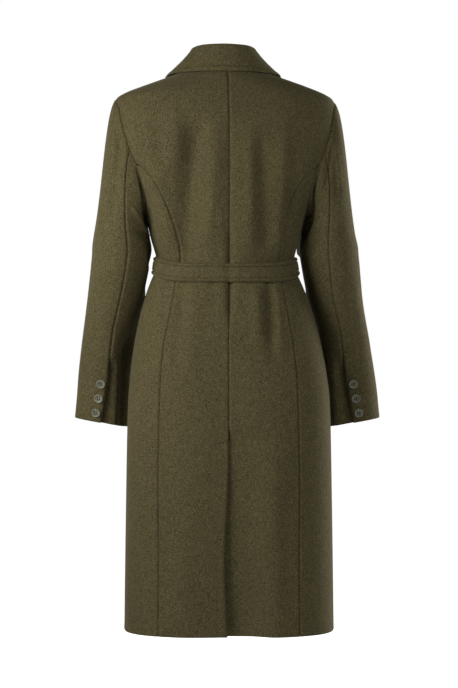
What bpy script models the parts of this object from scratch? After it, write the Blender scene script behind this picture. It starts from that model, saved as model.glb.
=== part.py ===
"""Long belted wool coat, filled out as it is worn.

Frame: +Z up, the front faces -Y, +X is the wearer's left.
Origin: middle of the neck opening at the height of the side neck, where the wearer carries the coat.
The tables are in millimetres and degrees; heights count up from the hem.
Angles go round the body from the centre back (0) over the wearer's left side (90) to the front (180).
"""
from collections import namedtuple

import bmesh
import bpy
import numpy as np
from mathutils import Matrix, Vector

MM = 0.001

# Driving sizes
SIDE_NECK = 1085.0
WALL = 2.4
SEAM_GAP = 0.3
SIDE_SEAM = 90.0
FRONT_MIDDLE = 180.0

Ring = namedtuple("Ring", "height half_width depth_back depth_front squareness")
BODY = [
    Ring(0, 203.5, 133, 130, 2.9),
    Ring(189, 201, 131, 127, 2.8),
    Ring(376, 198, 128, 123, 2.7),
    Ring(441, 196, 126, 121, 2.65),
    Ring(499, 190, 123, 118, 2.6),
    Ring(550, 182, 119, 115, 2.5),
    Ring(599, 171, 114, 111, 2.45),
    Ring(642, 158, 108, 107, 2.4),
    Ring(680, 143, 100, 102, 2.4),
    Ring(690, 138, 98, 100, 2.4),
    Ring(704, 133.5, 97, 99, 2.4),
    Ring(718, 134, 98, 100, 2.4),
    Ring(735, 138, 101, 104, 2.4),
    Ring(751, 143, 104, 107, 2.4),
    Ring(780, 150, 108, 111, 2.4),
    Ring(803, 157, 111, 115, 2.4),
    Ring(838, 176, 114, 119, 2.4),
    Ring(866, 192, 116, 121, 2.4),
    Ring(895, 206, 117, 121, 2.4),
    Ring(920, 215, 117, 119, 2.4),
    Ring(960, 222, 114, 114, 2.4),
    Ring(985, 222, 111, 109, 2.4),
    Ring(1005, 219, 107, 104, 2.4),
    Ring(1018, 215, 103, 101, 2.4),
    Ring(1028, 210, 100, 98, 2.4),
    Ring(1036, 198, 97, 95, 2.4),
    Ring(1050, 164, 91, 89, 2.3),
    Ring(1070, 108, 80, 79, 2.2),
    Ring(1085, 70, 70, 70, 2.1),
]

# Hang of the coat: the skirt swings aside and turns a little below the belt
Hang = namedtuple("Hang", "height sway twist")
HANG = [
    Hang(0, -9, -4.5),
    Hang(440, -9, -4.5),
    Hang(550, -6.5, -3.3),
    Hang(642, -3.5, -1.2),
    Hang(704, -2, 0),
    Hang(803, -1.5, 0),
    Hang(1028, -1, 0),
    Hang(1050, -1.5, 0),
    Hang(1085, 2, 0),
    Hang(1130, 4, 0),
]

# Soft folds: a ridge (rise above 0) or trough (below 0) running from one place to another
BACK, FRONT = 1, -1
Fold = namedtuple("Fold", "face top across_top bottom across_bottom half_width rise")
BODY_FOLDS = [
    Fold(BACK, 1000, 26, 716, 42, 13, 3.0),
    Fold(BACK, 985, 60, 716, 98, 15, -3.0),
    Fold(BACK, 1000, 100, 880, 96, 13, 2.0),
    Fold(BACK, 990, 138, 880, 128, 12, -2.0),
    Fold(BACK, 990, -40, 716, -40, 13, 3.0),
    Fold(BACK, 960, -62, 716, -73, 12, -3.0),
    Fold(BACK, 985, -108, 716, -93, 13, 3.0),
    Fold(BACK, 930, -128, 716, -112, 10, -2.0),
    Fold(BACK, 1000, 0, 560, 0, 9, -3.0),
    Fold(BACK, 620, 0, -150, 0, 36, -5.0),
    Fold(BACK, 664, -52, 540, -56, 12, 2.5),
    Fold(BACK, 664, -76, 500, -84, 12, -3.0),
    Fold(BACK, 664, -92, 520, -100, 9, 2.5),
    Fold(BACK, 664, 60, 480, 74, 14, 2.5),
    Fold(BACK, 664, 88, 470, 100, 12, -2.5),
    Fold(BACK, 420, 84, -80, 92, 26, 3.0),
    Fold(BACK, 420, -84, -80, -94, 26, 3.0),
    Fold(FRONT, 950, 86, 730, 62, 18, 3.0),
    Fold(FRONT, 950, -80, 730, -66, 18, 3.0),
    Fold(FRONT, 664, 96, 470, 106, 14, -3.0),
    Fold(FRONT, 664, -90, 470, -104, 14, -3.0),
]
FOLD_FADE = 0.22
FACE_FADE = 0.35

# Seam lines
SeamPoint = namedtuple("SeamPoint", "height across")
PRINCESS = [
    SeamPoint(0, 134),
    SeamPoint(146, 133),
    SeamPoint(279, 134),
    SeamPoint(372, 133),
    SeamPoint(478, 130),
    SeamPoint(540, 124.5),
    SeamPoint(610, 112),
    SeamPoint(672, 101),
    SeamPoint(704, 97),
    SeamPoint(768, 106),
    SeamPoint(810, 116.5),
    SeamPoint(844, 130),
    SeamPoint(876, 151),
    SeamPoint(895, 175),
]
ArmholePoint = namedtuple("ArmholePoint", "turn across height face")
ARMHOLE = [
    ArmholePoint(0, 210, 1028, BACK),
    ArmholePoint(25, 207, 1005, BACK),
    ArmholePoint(50, 200, 969, BACK),
    ArmholePoint(70, 192.5, 940, BACK),
    ArmholePoint(85, 186, 920, BACK),
    ArmholePoint(100, 175, 895, BACK),
    ArmholePoint(118, 165, 866, BACK),
    ArmholePoint(138, 158.5, 838, BACK),
    ArmholePoint(158, 156.5, 815, BACK),
    ArmholePoint(180, 157, 803, BACK),
    ArmholePoint(202, 156, 815, FRONT),
    ArmholePoint(222, 157, 838, FRONT),
    ArmholePoint(242, 162, 866, FRONT),
    ArmholePoint(260, 170, 895, FRONT),
    ArmholePoint(275, 180, 920, FRONT),
    ArmholePoint(290, 188, 940, FRONT),
    ArmholePoint(310, 198, 969, FRONT),
    ArmholePoint(335, 206.5, 1005, FRONT),
    ArmholePoint(360, 210, 1028, FRONT),
]
NeckPoint = namedtuple("NeckPoint", "share across height face")
NECKLINE = [
    NeckPoint(0.0, 0, 1082, BACK),
    NeckPoint(0.10, 25, 1082.3, BACK),
    NeckPoint(0.22, 50, 1083.3, BACK),
    NeckPoint(0.34, 66, 1084.5, BACK),
    NeckPoint(0.43, 70, 1085, BACK),
    NeckPoint(0.55, 72.5, 1078, FRONT),
    NeckPoint(0.66, 73, 1062, FRONT),
    NeckPoint(0.78, 67, 1035, FRONT),
    NeckPoint(0.90, 42, 1010, FRONT),
    NeckPoint(1.0, 0, 1002, FRONT),
]

# Back vent: the left half laps over the right one
VENT_TOP = 372.0
VENT_BLEND = 28.0
VENT_UNDERLAP = 40.0
VENT_SINK = 5.2
VENT_SINK_FULL = -34.0
VENT_SINK_NONE = -92.0
VentEdge = namedtuple("VentEdge", "height lean")
VENT_EDGE = [
    VentEdge(0, 3),
    VentEdge(60, 6),
    VentEdge(120, 8),
    VentEdge(180, 7),
    VentEdge(278, 2),
    VentEdge(372, 0),
    VentEdge(400, 0),
]

# Front wrap: the right front laps over the left one
WRAP = 42.0
WRAP_SINK = 4.0
WRAP_SINK_FULL = 52.0
WRAP_SINK_NONE = 88.0

# Rows that the body panels share
SKIRT_ROWS = [0, 80, 160, 250, 344, 372, 400, 441, 485, 525, 562, 599, 632, 662]
BODICE_ROWS = [683, 704, 726, 752, 778, 803]
LOW_ROWS = np.array(SKIRT_ROWS + BODICE_ROWS, float)
SideTop = namedtuple("SideTop", "princess_height turn")
SIDE_TOPS = [
    SideTop(828, 162),
    SideTop(852, 143),
    SideTop(872, 124),
    SideTop(886, 109),
    SideTop(892.5, 102.5),
]
BACK_TURNS = [100, 85, 70, 50, 25]
FRONT_TURNS = [198, 216, 232, 242, 260, 275, 290, 310]
BackTop = namedtuple("BackTop", "shoulder_height middle_height neck_share")
BACK_TOPS = [
    BackTop(1028, 1030, 0),
    BackTop(1042, 1052, 0),
    BackTop(1056, 1070, 0),
    BackTop(1067, 1082, 0),
    BackTop(1075, 1082, 0.14),
    BackTop(1081, 1082, 0.26),
    BackTop(1084.3, 1082, 0.37),
]
FrontTop = namedtuple("FrontTop", "turn shoulder_height neck_share drop")
FRONT_TOPS = [
    FrontTop(335, None, 1.10, 12),
    FrontTop(360, None, 0.98, 0),
    FrontTop(None, 1042, 0.87, 0),
    FrontTop(None, 1056, 0.77, 0),
    FrontTop(None, 1067, 0.68, 0),
    FrontTop(None, 1075, 0.60, 0),
    FrontTop(None, 1081, 0.53, 0),
    FrontTop(None, 1084.3, 0.475, 0),
]
BACK_COLUMNS = 9
SIDE_COLUMNS = 4
FRONT_COLUMNS = 8

# Sleeves: a cap from the armhole to the first ring, then rings down to the cuff
SleeveRing = namedtuple("SleeveRing", "height out back half_out half_depth slant swing")
SLEEVE = [
    SleeveRing(397, 249, -72, 54, 49, 18, 3.5),
    SleeveRing(480, 242.5, -66, 52.5, 53, 10, 3.5),
    SleeveRing(540, 236, -54, 50.5, 57, 6, 2.5),
    SleeveRing(580, 230, -44, 50, 60, 4, 1.5),
    SleeveRing(640, 217, -28, 53.5, 64, 2, 0),
    SleeveRing(680, 210, -18, 56, 67, 0, -1.5),
    SleeveRing(704, 206.5, -14, 57, 69, 0, -2),
    SleeveRing(735, 202.5, -8, 58, 71.5, 0, -1.5),
    SleeveRing(765, 202, -4, 53.5, 73, 0, 0),
]
CAP_END = 765.0
CAP_SLOPE_STEP = 20.0
CUFF = 397.0
CapStart = namedtuple("CapStart", "turn out back up")
CAP_STARTS = [
    CapStart(0, 62, 0, -32),
    CapStart(45, 60, 16, -48),
    CapStart(85, 46, 14, -80),
    CapStart(130, 26, 18, -60),
    CapStart(180, 6, 0, -30),
    CapStart(230, 26, -18, -60),
    CapStart(275, 44, -18, -80),
    CapStart(315, 60, -18, -48),
    CapStart(360, 62, 0, -32),
]
CAP_RUNS = [0, 0.10, 0.24, 0.40, 0.58, 0.78]
SLEEVE_ROWS = [765, 722, 680, 635, 590, 545, 516, 497, 478, 452, 425, 397]
UPPER_TURNS = [-118, -100, -85, -70, -50, -25, 0, 25, 50, 70, 85]
UNDER_TURNS = [85, 100, 109, 124, 143, 162, 180, 198, 216, 232, 242]
SleeveSeam = namedtuple("SleeveSeam", "run upper_edge under_edge front sink")
SLEEVE_SEAMS = [
    SleeveSeam(0.0, 85, 85, 242, 0),
    SleeveSeam(1.0, 98.5, 98.5, 236, 0),
    SleeveSeam(1.35, 102, 102, 235, 0),
    SleeveSeam(1.62, 101.5, 101.5, 235, 0),
    SleeveSeam(1.728, 101, 101, 235, 3.6),
    SleeveSeam(1.78, 100, 83, 235, 3.6),
    SleeveSeam(1.86, 97, 79, 235, 3.6),
    SleeveSeam(2.0, 91, 74, 235, 3.6),
]
SLEEVE_SINK_FULL = 106.0
SLEEVE_SINK_NONE = 130.0

# Collar: stand, fold and fall along the neckline; its outer edge lies on the body
CollarRow = namedtuple("CollarRow", "share stand lean edge_across edge_height face")
COLLAR = [
    CollarRow(0.0, 39, -2, 0, 1071, BACK),
    CollarRow(0.15, 38, -3, 42, 1071, BACK),
    CollarRow(0.30, 34.5, -7, 84, 1070.5, BACK),
    CollarRow(0.43, 30, -13, 107, 1070, BACK),
    CollarRow(0.55, 27, -13, 110, 1062, FRONT),
    CollarRow(0.70, 28, -6, 106, 1030, FRONT),
    CollarRow(0.85, 26, -3, 86, 990, FRONT),
    CollarRow(0.98, 22, 0, 52, 952, FRONT),
]
COLLAR_WALL = 2.6
COLLAR_FOLD_RADIUS = 2.2
COLLAR_CLEAR = 2.6
COLLAR_BULGE = 1.5
STAND_STEPS = 3
FOLD_STEPS = 5
FALL_STEPS = 6

# Tie belt
BELT_HALF_WIDTH = 18.0
BELT_WALL = 4.0
BELT_CLEAR = 1.0
BELT_SIDE_HEIGHT = 704.0
BELT_BACK_DIP = 17.0
BELT_SEGMENTS = 80
BELT_COLUMNS = 2
KNOT_SIZE = Vector((25.0, 11.0, 24.0))
KNOT_SQUARENESS = 0.62
KNOT_SEGMENTS = 16
KNOT_RINGS = 10
END_TOP = 679.0
END_WALL = 3.4
END_CLEAR = 0.6
END_ROWS = 15
END_COLUMNS = 4
EndRow = namedtuple("EndRow", "share across half_width")
END_SHAPE = [
    EndRow(0, 12.5, 11),
    EndRow(0.2, 20, 17),
    EndRow(0.45, 25, 18),
    EndRow(1, 34, 18),
]
END_LENGTHS = {"left": 390.0, "right": 350.0}

# Cuff buttons
BUTTON_HEIGHTS = [415.0, 444.0, 473.0]
BUTTON_INSET = 13.5
BUTTON_SEGMENTS = 16
ButtonRing = namedtuple("ButtonRing", "radius rise")
BUTTON_PROFILE = [
    ButtonRing(7.6, 0),
    ButtonRing(9.0, 0.9),
    ButtonRing(9.0, 2.3),
    ButtonRing(8.2, 3.1),
    ButtonRing(7.2, 3.0),
    ButtonRing(6.0, 2.0),
]
BUTTON_HOLE_RADIUS = 0.9
BUTTON_HOLE_SPREAD = 1.9
BUTTON_HOLE_SIDES = 6

BUTTON_CUTTER_LENGTH = 12.0

# Colours and finish
WOOL_COLOUR = (0.085, 0.072, 0.032, 1)
WOOL_ROUGHNESS = 0.9
BUTTON_COLOUR = (0.20, 0.21, 0.16, 1)
BUTTON_ROUGHNESS = 0.5

# Small steps that measure a slope: degrees round a form, millimetres up the body, shares of a run or seam
TURN_STEP = 0.3
HEIGHT_STEP = 1.0
RUN_STEP = 0.004
NECK_STEP = 0.005


def through(rows, key, name, at):
    """One column of a table at the given keys: a cubic through its rows that never overshoots."""
    knots = np.array([getattr(row, key) for row in rows], float)
    values = np.array([getattr(row, name) for row in rows], float)
    return cubic(knots, values, at)


def cubic(knots, values, at):
    steps = np.diff(knots)
    rises = np.diff(values) / steps
    slopes = np.zeros(len(values))
    slopes[0] = rises[0]
    slopes[-1] = rises[-1]
    same_way = rises[:-1] * rises[1:] > 0
    total = np.where(same_way, rises[:-1] + rises[1:], 1.0)
    slopes[1:-1] = np.where(same_way, 2 * rises[:-1] * rises[1:] / total, 0.0)
    at = np.clip(at, knots[0], knots[-1])
    cell = np.clip(np.searchsorted(knots, at, side="right") - 1, 0, len(steps) - 1)
    width = steps[cell]
    share = (at - knots[cell]) / width
    return hermite(share, values[cell], slopes[cell] * width, values[cell + 1], slopes[cell + 1] * width)


def hermite(share, start, start_slope, end, end_slope):
    square = share * share
    cube = square * share
    return ((2 * cube - 3 * square + 1) * start + (cube - 2 * square + share) * start_slope
            + (3 * square - 2 * cube) * end + (cube - square) * end_slope)


def soft_step(value):
    value = np.clip(value, 0.0, 1.0)
    return value * value * (3 - 2 * value)


def signed_power(value, power):
    return np.sign(value) * np.abs(value) ** power


def unit(vectors):
    return vectors / np.maximum(np.linalg.norm(vectors, axis=-1, keepdims=True), 1e-12)


def between(start, end, shares):
    """Rows of values from each start to each end."""
    start = np.asarray(start, float)[:, None]
    end = np.asarray(end, float)[:, None]
    return start + (end - start) * np.asarray(shares, float)[None, :]


def normals(surface, angle, row, row_step):
    along = surface(angle, row + row_step) - surface(angle, row - row_step)
    around = surface(angle + TURN_STEP, row) - surface(angle - TURN_STEP, row)
    return unit(np.cross(along, around))


def beside(along, facing, toward):
    """Direction in the surface, square to an edge, on the side of the given direction."""
    across = unit(np.cross(along, facing))
    return across * np.sign(np.sum(across * toward, axis=-1, keepdims=True))


# The body's surface
def body_plain(angle, height):
    turn = np.radians(angle)
    power = 2 / through(BODY, "height", "squareness", height)
    depth_back = through(BODY, "height", "depth_back", height)
    depth_front = through(BODY, "height", "depth_front", height)
    depth = np.where(np.cos(turn) > 0, depth_back, depth_front)
    across = through(BODY, "height", "half_width", height) * signed_power(np.sin(turn), power)
    back = depth * signed_power(np.cos(turn), power)
    return np.stack([across, back, height - SIDE_NECK], axis=-1)


def fold_rise(across, angle, height):
    rise = np.zeros(np.shape(across))
    for fold in BODY_FOLDS:
        share = (fold.top - height) / (fold.top - fold.bottom)
        middle = fold.across_top + share * (fold.across_bottom - fold.across_top)
        bump = np.exp(-((across - middle) / fold.half_width) ** 2)
        ends = soft_step(share / FOLD_FADE) * soft_step((1 - share) / FOLD_FADE)
        facing = soft_step(fold.face * np.cos(np.radians(angle)) / FACE_FADE)
        rise = rise + fold.rise * bump * ends * facing
    return rise


def body(angle, height):
    angle, height = np.broadcast_arrays(np.asarray(angle, float), np.asarray(height, float))
    plain = body_plain(angle, height)
    rise = fold_rise(plain[..., 0], angle, height)
    return plain + normals(body_plain, angle, height, HEIGHT_STEP) * rise[..., None]


def body_normals(angle, height):
    return normals(body, angle, height, HEIGHT_STEP)


def angle_at(across, height, face):
    """Angle of the place that lies so far across on the back or the front."""
    across = np.asarray(across, float)
    half_width = through(BODY, "height", "half_width", height)
    power = through(BODY, "height", "squareness", height) / 2
    turn = np.degrees(np.arcsin(np.clip(np.abs(across) / half_width, 0, 1) ** power))
    turn = np.where(np.asarray(face) == BACK, turn, FRONT_MIDDLE - turn)
    return np.where(across < 0, -turn, turn)


def seam_places(rows, key, across, height, at):
    """Angle and height along a seam table whose rows give a place across and a height."""
    keys = np.array([getattr(row, key) for row in rows], float)
    heights = np.array([getattr(row, height) for row in rows], float)
    angles = np.array([angle_at(getattr(row, across), getattr(row, height), row.face) for row in rows])
    return cubic(keys, angles, at), cubic(keys, heights, at)


def armhole(turn):
    return seam_places(ARMHOLE, "turn", "across", "height", np.mod(turn, 360.0))


def neckline(share):
    """Angle and height on the neckline; shares above 1 run on past the centre front."""
    share = np.asarray(share, float)
    angle, height = seam_places(NECKLINE, "share", "across", "height", np.minimum(share, 2 - share))
    return np.where(share > 1, 2 * FRONT_MIDDLE - angle, angle), height


def princess(height):
    return angle_at(through(PRINCESS, "height", "across", height), height, BACK)


def hung(points):
    """Points in metres, swung and turned about the middle of the coat by their height."""
    height = points[:, 2] / MM + SIDE_NECK
    turn = np.radians(through(HANG, "height", "twist", height))
    sway = through(HANG, "height", "sway", height) * MM
    across = points[:, 0] * np.cos(turn) - points[:, 1] * np.sin(turn) + sway
    back = points[:, 0] * np.sin(turn) + points[:, 1] * np.cos(turn)
    return np.stack([across, back, points[:, 2]], axis=-1)


# Meshes
def material(name, colour, roughness):
    made = bpy.data.materials.new(name)
    made.use_nodes = True
    shader = made.node_tree.nodes["Principled BSDF"]
    shader.inputs["Base Color"].default_value = colour
    shader.inputs["Roughness"].default_value = roughness
    return made


def add_object(name, shape, colour=WOOL_COLOUR, roughness=WOOL_ROUGHNESS):
    bmesh.ops.recalc_face_normals(shape, faces=shape.faces)
    places = hung(np.array([vertex.co for vertex in shape.verts]))
    for vertex, place in zip(shape.verts, places):
        vertex.co = place
    mesh = bpy.data.meshes.new(name)
    shape.to_mesh(mesh)
    shape.free()
    mesh.materials.append(material(name, colour, roughness))
    made = bpy.data.objects.new(name, mesh)
    bpy.context.collection.objects.link(made)
    return made


def add_sheet(name, outer, inner, ring=False):
    """Closed wall between two grids of points; a ring joins its last row to its first."""
    rows, columns = outer.shape[:2]
    shape = bmesh.new()
    points = np.concatenate([outer.reshape(-1, 3), inner.reshape(-1, 3)]) * MM
    vertices = [shape.verts.new(point) for point in points]

    def at(layer, row, column):
        return vertices[layer * rows * columns + (row % rows) * columns + column]

    row_cells = rows if ring else rows - 1
    for row in range(row_cells):
        for layer in (0, 1):
            for column in range(columns - 1):
                corners = [(row, column), (row, column + 1), (row + 1, column + 1), (row + 1, column)]
                shape.faces.new([at(layer, r, c) for r, c in corners])
        for column in (0, columns - 1):
            corners = [(0, row), (0, row + 1), (1, row + 1), (1, row)]
            shape.faces.new([at(layer, r, column) for layer, r in corners])
    if not ring:
        for row in (0, rows - 1):
            for column in range(columns - 1):
                corners = [(0, column), (0, column + 1), (1, column + 1), (1, column)]
                shape.faces.new([at(layer, row, c) for layer, c in corners])
    return add_object(name, shape)


def draw_in(grid, gap):
    """The grid with its four edges drawn in by a gap, square to each edge."""
    drawn = grid.copy()
    for turned in (False, True):
        source = np.swapaxes(grid, 0, 1) if turned else grid
        target = np.swapaxes(drawn, 0, 1) if turned else drawn
        for edge, inside in ((0, 1), (-1, -2)):
            along = unit(np.gradient(source[edge], axis=0))
            inward = source[inside] - source[edge]
            inward = inward - along * np.sum(inward * along, axis=-1, keepdims=True)
            target[edge] += gap * unit(inward)
    return drawn


def add_panel(name, inner_edge, outer_edge, columns, sink=None):
    """Body panel between two edges, each a list of angles and a list of heights, row by row."""
    shares = np.linspace(0, 1, columns)
    angle = between(inner_edge[0], outer_edge[0], shares)
    height = between(inner_edge[1], outer_edge[1], shares)
    outer = body(angle, height)
    facing = body_normals(angle, height)
    if sink is not None:
        outer = outer - facing * sink(outer[..., 0], height)[..., None]
    outer = draw_in(outer, SEAM_GAP / 2)
    add_sheet(name, outer, outer - facing * WALL)


def sided(edge, side):
    return side * np.asarray(edge[0], float), np.asarray(edge[1], float)


def joined(*edges):
    angles = np.concatenate([np.ravel(edge[0]) for edge in edges])
    heights = np.concatenate([np.ravel(edge[1]) for edge in edges])
    return angles, heights


# Back, side back and front
def back_outer_edge():
    side_heights = np.array([row.princess_height for row in SIDE_TOPS], float)
    heights = np.concatenate([LOW_ROWS, side_heights])
    shoulders = np.array([row.shoulder_height for row in BACK_TOPS], float)
    return joined((princess(heights), heights), armhole(np.array(BACK_TURNS)),
                  (np.full(len(shoulders), SIDE_SEAM), shoulders))


def back_inner_edge(low_angles):
    outer_heights = back_outer_edge()[1]
    plain = outer_heights[len(LOW_ROWS):len(outer_heights) - len(BACK_TOPS)]
    middle = [row for row in BACK_TOPS if row.neck_share == 0]
    middle_heights = np.array([row.middle_height for row in middle], float)
    neck = neckline(np.array([row.neck_share for row in BACK_TOPS if row.neck_share > 0]))
    return joined((low_angles, LOW_ROWS), (np.zeros(len(plain)), plain),
                  (np.zeros(len(middle)), middle_heights), neck)


def vent_sink(across, height):
    down = soft_step((VENT_TOP + VENT_BLEND - height) / VENT_BLEND)
    near = soft_step((across - VENT_SINK_NONE) / (VENT_SINK_FULL - VENT_SINK_NONE))
    return VENT_SINK * down * near


def add_backs():
    lapped = angle_at(through(VENT_EDGE, "height", "lean", LOW_ROWS), LOW_ROWS, BACK)
    add_panel("back_left", back_inner_edge(lapped), back_outer_edge(), BACK_COLUMNS)
    under = np.where(LOW_ROWS < VENT_TOP, VENT_UNDERLAP, 0.0)
    lapping = angle_at(-under, LOW_ROWS, BACK)
    add_panel("back_right", sided(back_inner_edge(lapping), -1), sided(back_outer_edge(), -1),
              BACK_COLUMNS, vent_sink)


def add_side_backs():
    heights = np.array([row.princess_height for row in SIDE_TOPS], float)
    turns = np.array([row.turn for row in SIDE_TOPS], float)
    inner_heights = np.concatenate([LOW_ROWS, heights])
    inner = (princess(inner_heights), inner_heights)
    outer = joined((np.full(len(LOW_ROWS), SIDE_SEAM), LOW_ROWS), armhole(turns))
    for name, side in (("side_back_left", 1), ("side_back_right", -1)):
        add_panel(name, sided(inner, side), sided(outer, side), SIDE_COLUMNS)


def wrap_sink(across, height):
    return WRAP_SINK * soft_step((WRAP_SINK_NONE - across) / (WRAP_SINK_NONE - WRAP_SINK_FULL))


def add_fronts():
    hole = armhole(np.array(FRONT_TURNS))
    top_turns = armhole(np.array([row.turn for row in FRONT_TOPS if row.turn]))
    shoulders = np.array([row.shoulder_height for row in FRONT_TOPS if row.shoulder_height], float)
    outer = joined((np.full(len(LOW_ROWS), SIDE_SEAM), LOW_ROWS), hole, top_turns,
                   (np.full(len(shoulders), SIDE_SEAM), shoulders))
    edge_heights = np.concatenate([LOW_ROWS, hole[1]])
    past_middle = 2 * FRONT_MIDDLE - angle_at(WRAP, edge_heights, FRONT)
    top_angles, top_heights = neckline(np.array([row.neck_share for row in FRONT_TOPS]))
    drops = np.array([row.drop for row in FRONT_TOPS], float)
    inner = joined((past_middle, edge_heights), (top_angles, top_heights - drops))
    add_panel("front_left", inner, outer, FRONT_COLUMNS, wrap_sink)
    add_panel("front_right", sided(inner, -1), sided(outer, -1), FRONT_COLUMNS)


# Sleeves
def sleeve_ring(turn, height):
    angle = np.radians(turn)
    out = through(SLEEVE, "height", "out", height)
    back = through(SLEEVE, "height", "back", height)
    half_out = through(SLEEVE, "height", "half_out", height)
    half_depth = through(SLEEVE, "height", "half_depth", height)
    tilt = through(SLEEVE, "height", "slant", height) / 2
    return np.stack([out + half_out * np.cos(angle), back + half_depth * np.sin(angle),
                     height + tilt * np.cos(angle) - SIDE_NECK], axis=-1)


def cap_start(turn):
    turn = np.mod(turn, 360.0)
    columns = [through(CAP_STARTS, "turn", name, turn) for name in ("out", "back", "up")]
    return np.stack(columns, axis=-1)


def sleeve(turn, run):
    """Left sleeve: run 0 is the armhole, 1 the first full ring, 2 the cuff."""
    turn, run = np.broadcast_arrays(np.asarray(turn, float), np.asarray(run, float))
    low = sleeve_ring(turn, CAP_END - np.maximum(run - 1, 0) * (CAP_END - CUFF))
    start = body(*armhole(turn))
    end = sleeve_ring(turn, np.full(turn.shape, CAP_END))
    below = sleeve_ring(turn, np.full(turn.shape, CAP_END - CAP_SLOPE_STEP))
    slope = (below - end) / CAP_SLOPE_STEP
    length = np.linalg.norm(end - start, axis=-1, keepdims=True)
    cap = hermite(run[..., None], start, cap_start(turn), end, slope * length)
    return np.where((run < 1)[..., None], cap, low)


def sleeve_normals(turn, run):
    return normals(sleeve, turn, run, RUN_STEP)


def cap_clearance(turn):
    """Step from the armhole edge to the sleeve's first row that keeps the two walls apart."""
    angle, height = armhole(turn)
    edge = body(angle, height)
    facing = body_normals(angle, height)
    along = body(*armhole(turn + TURN_STEP)) - body(*armhole(turn - TURN_STEP))
    middle = np.mean(body(*armhole(np.linspace(0, 350, 36))), axis=0)
    across = beside(along, facing, middle - edge)
    leaving = np.clip(np.sum(unit(cap_start(turn)) * across, axis=-1, keepdims=True), 0, 1)
    turned = np.clip(np.sum(sleeve_normals(turn, 0.0) * across, axis=-1, keepdims=True), 0, 1)
    return SEAM_GAP * (leaving * across + (1 - leaving) * facing) + WALL * turned * across


def sided_sleeve(points, side):
    """Left sleeve points on either side; both sleeves swing the same way."""
    swing = through(SLEEVE, "height", "swing", points[..., 2] + SIDE_NECK)
    return np.stack([side * points[..., 0] + swing, points[..., 1], points[..., 2]], axis=-1)


def add_sleeve_piece(name, turns, edge_names, runs, side, sinks):
    turns = np.array(turns, float)
    shares = (turns - turns[0]) / (turns[-1] - turns[0])
    first = through(SLEEVE_SEAMS, "run", edge_names[0], runs)
    last = through(SLEEVE_SEAMS, "run", edge_names[1], runs)
    if turns[0] < 0:
        first = first - 360.0
    turn = between(first, last, shares)
    run = np.repeat(runs[:, None], len(shares), axis=1)
    outer = sleeve(turn, run)
    facing = sleeve_normals(turn, run)
    if sinks:
        depth = through(SLEEVE_SEAMS, "run", "sink", run)
        near = soft_step((SLEEVE_SINK_NONE - turn) / (SLEEVE_SINK_NONE - SLEEVE_SINK_FULL))
        outer = outer - facing * (depth * near)[..., None]
    outer[0] += cap_clearance(turn[0])
    outer[:, [0, -1]] = draw_in(outer, SEAM_GAP / 2)[:, [0, -1]]
    add_sheet(name, sided_sleeve(outer, side), sided_sleeve(outer - facing * WALL, side))


def add_sleeves():
    heights = np.array(SLEEVE_ROWS, float)
    runs = np.concatenate([CAP_RUNS, 1 + (CAP_END - heights) / (CAP_END - CUFF)])
    for name, side in (("left", 1), ("right", -1)):
        add_sleeve_piece("sleeve_upper_" + name, UPPER_TURNS, ("front", "upper_edge"), runs, side, False)
        add_sleeve_piece("sleeve_under_" + name, UNDER_TURNS, ("under_edge", "front"), runs, side, True)


# Collar
def collar_grid():
    back_shares = [row.neck_share for row in BACK_TOPS if row.neck_share > 0]
    front_shares = [row.neck_share for row in FRONT_TOPS if row.neck_share < 1]
    shares = np.array([0] + back_shares + front_shares[::-1])
    angle, height = neckline(shares)
    foot = body(angle, height)
    facing = body_normals(angle, height)
    along = body(*neckline(shares + NECK_STEP)) - body(*neckline(shares - NECK_STEP))
    inward = -foot
    out = unit(facing * np.array([1, 1, 0]))
    up = np.array([0, 0, 1.0])
    stand = through(COLLAR, "share", "stand", shares)[:, None]
    lean = through(COLLAR, "share", "lean", shares)[:, None]
    edge_angle, edge_height = seam_places(COLLAR, "share", "edge_across", "edge_height", shares)
    edge = body(edge_angle, edge_height) + COLLAR_CLEAR * body_normals(edge_angle, edge_height)
    foot = foot + SEAM_GAP * beside(along, facing, inward)
    top = foot + up * stand + out * lean
    columns = []
    for step in range(STAND_STEPS):
        share = step / STAND_STEPS
        columns.append(foot + (top - foot) * share)
    for step in range(FOLD_STEPS + 1):
        turn = np.pi * step / FOLD_STEPS
        columns.append(top + COLLAR_FOLD_RADIUS * (out * (1 - np.cos(turn)) + up * np.sin(turn)))
    start = columns[-1]
    control = (start + edge) / 2 + out * COLLAR_BULGE
    for step in range(1, FALL_STEPS + 1):
        share = step / FALL_STEPS
        columns.append((1 - share) ** 2 * start + 2 * share * (1 - share) * control + share ** 2 * edge)
    return np.stack(columns, axis=1), facing


def add_collar():
    half, facing = collar_grid()
    mirror = np.array([-1, 1, 1])
    grid = np.concatenate([half[:0:-1] * mirror, half])
    foot_facing = np.concatenate([facing[:0:-1] * mirror, facing])
    wall = unit(np.cross(np.gradient(grid, axis=1), np.gradient(grid, axis=0)))
    wall = wall * np.sign(np.sum(wall[:, :1] * foot_facing[:, None], axis=-1, keepdims=True))
    wall[:, 0] = foot_facing
    add_sheet("collar", grid, grid - wall * COLLAR_WALL)


# Belt
def belt_height(angle):
    return BELT_SIDE_HEIGHT - BELT_BACK_DIP * soft_step(np.cos(np.radians(angle)))


def add_belt_band():
    angles = np.linspace(0, 360, BELT_SEGMENTS, endpoint=False)
    across = np.linspace(-BELT_HALF_WIDTH, BELT_HALF_WIDTH, BELT_COLUMNS)
    height = belt_height(angles)[:, None] + across[None, :]
    angle = np.repeat(angles[:, None], BELT_COLUMNS, axis=1)
    face = body(angle, height)
    facing = body_normals(angle, height)
    add_sheet("belt_band", face + facing * (BELT_CLEAR + BELT_WALL), face + facing * BELT_CLEAR, ring=True)


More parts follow.
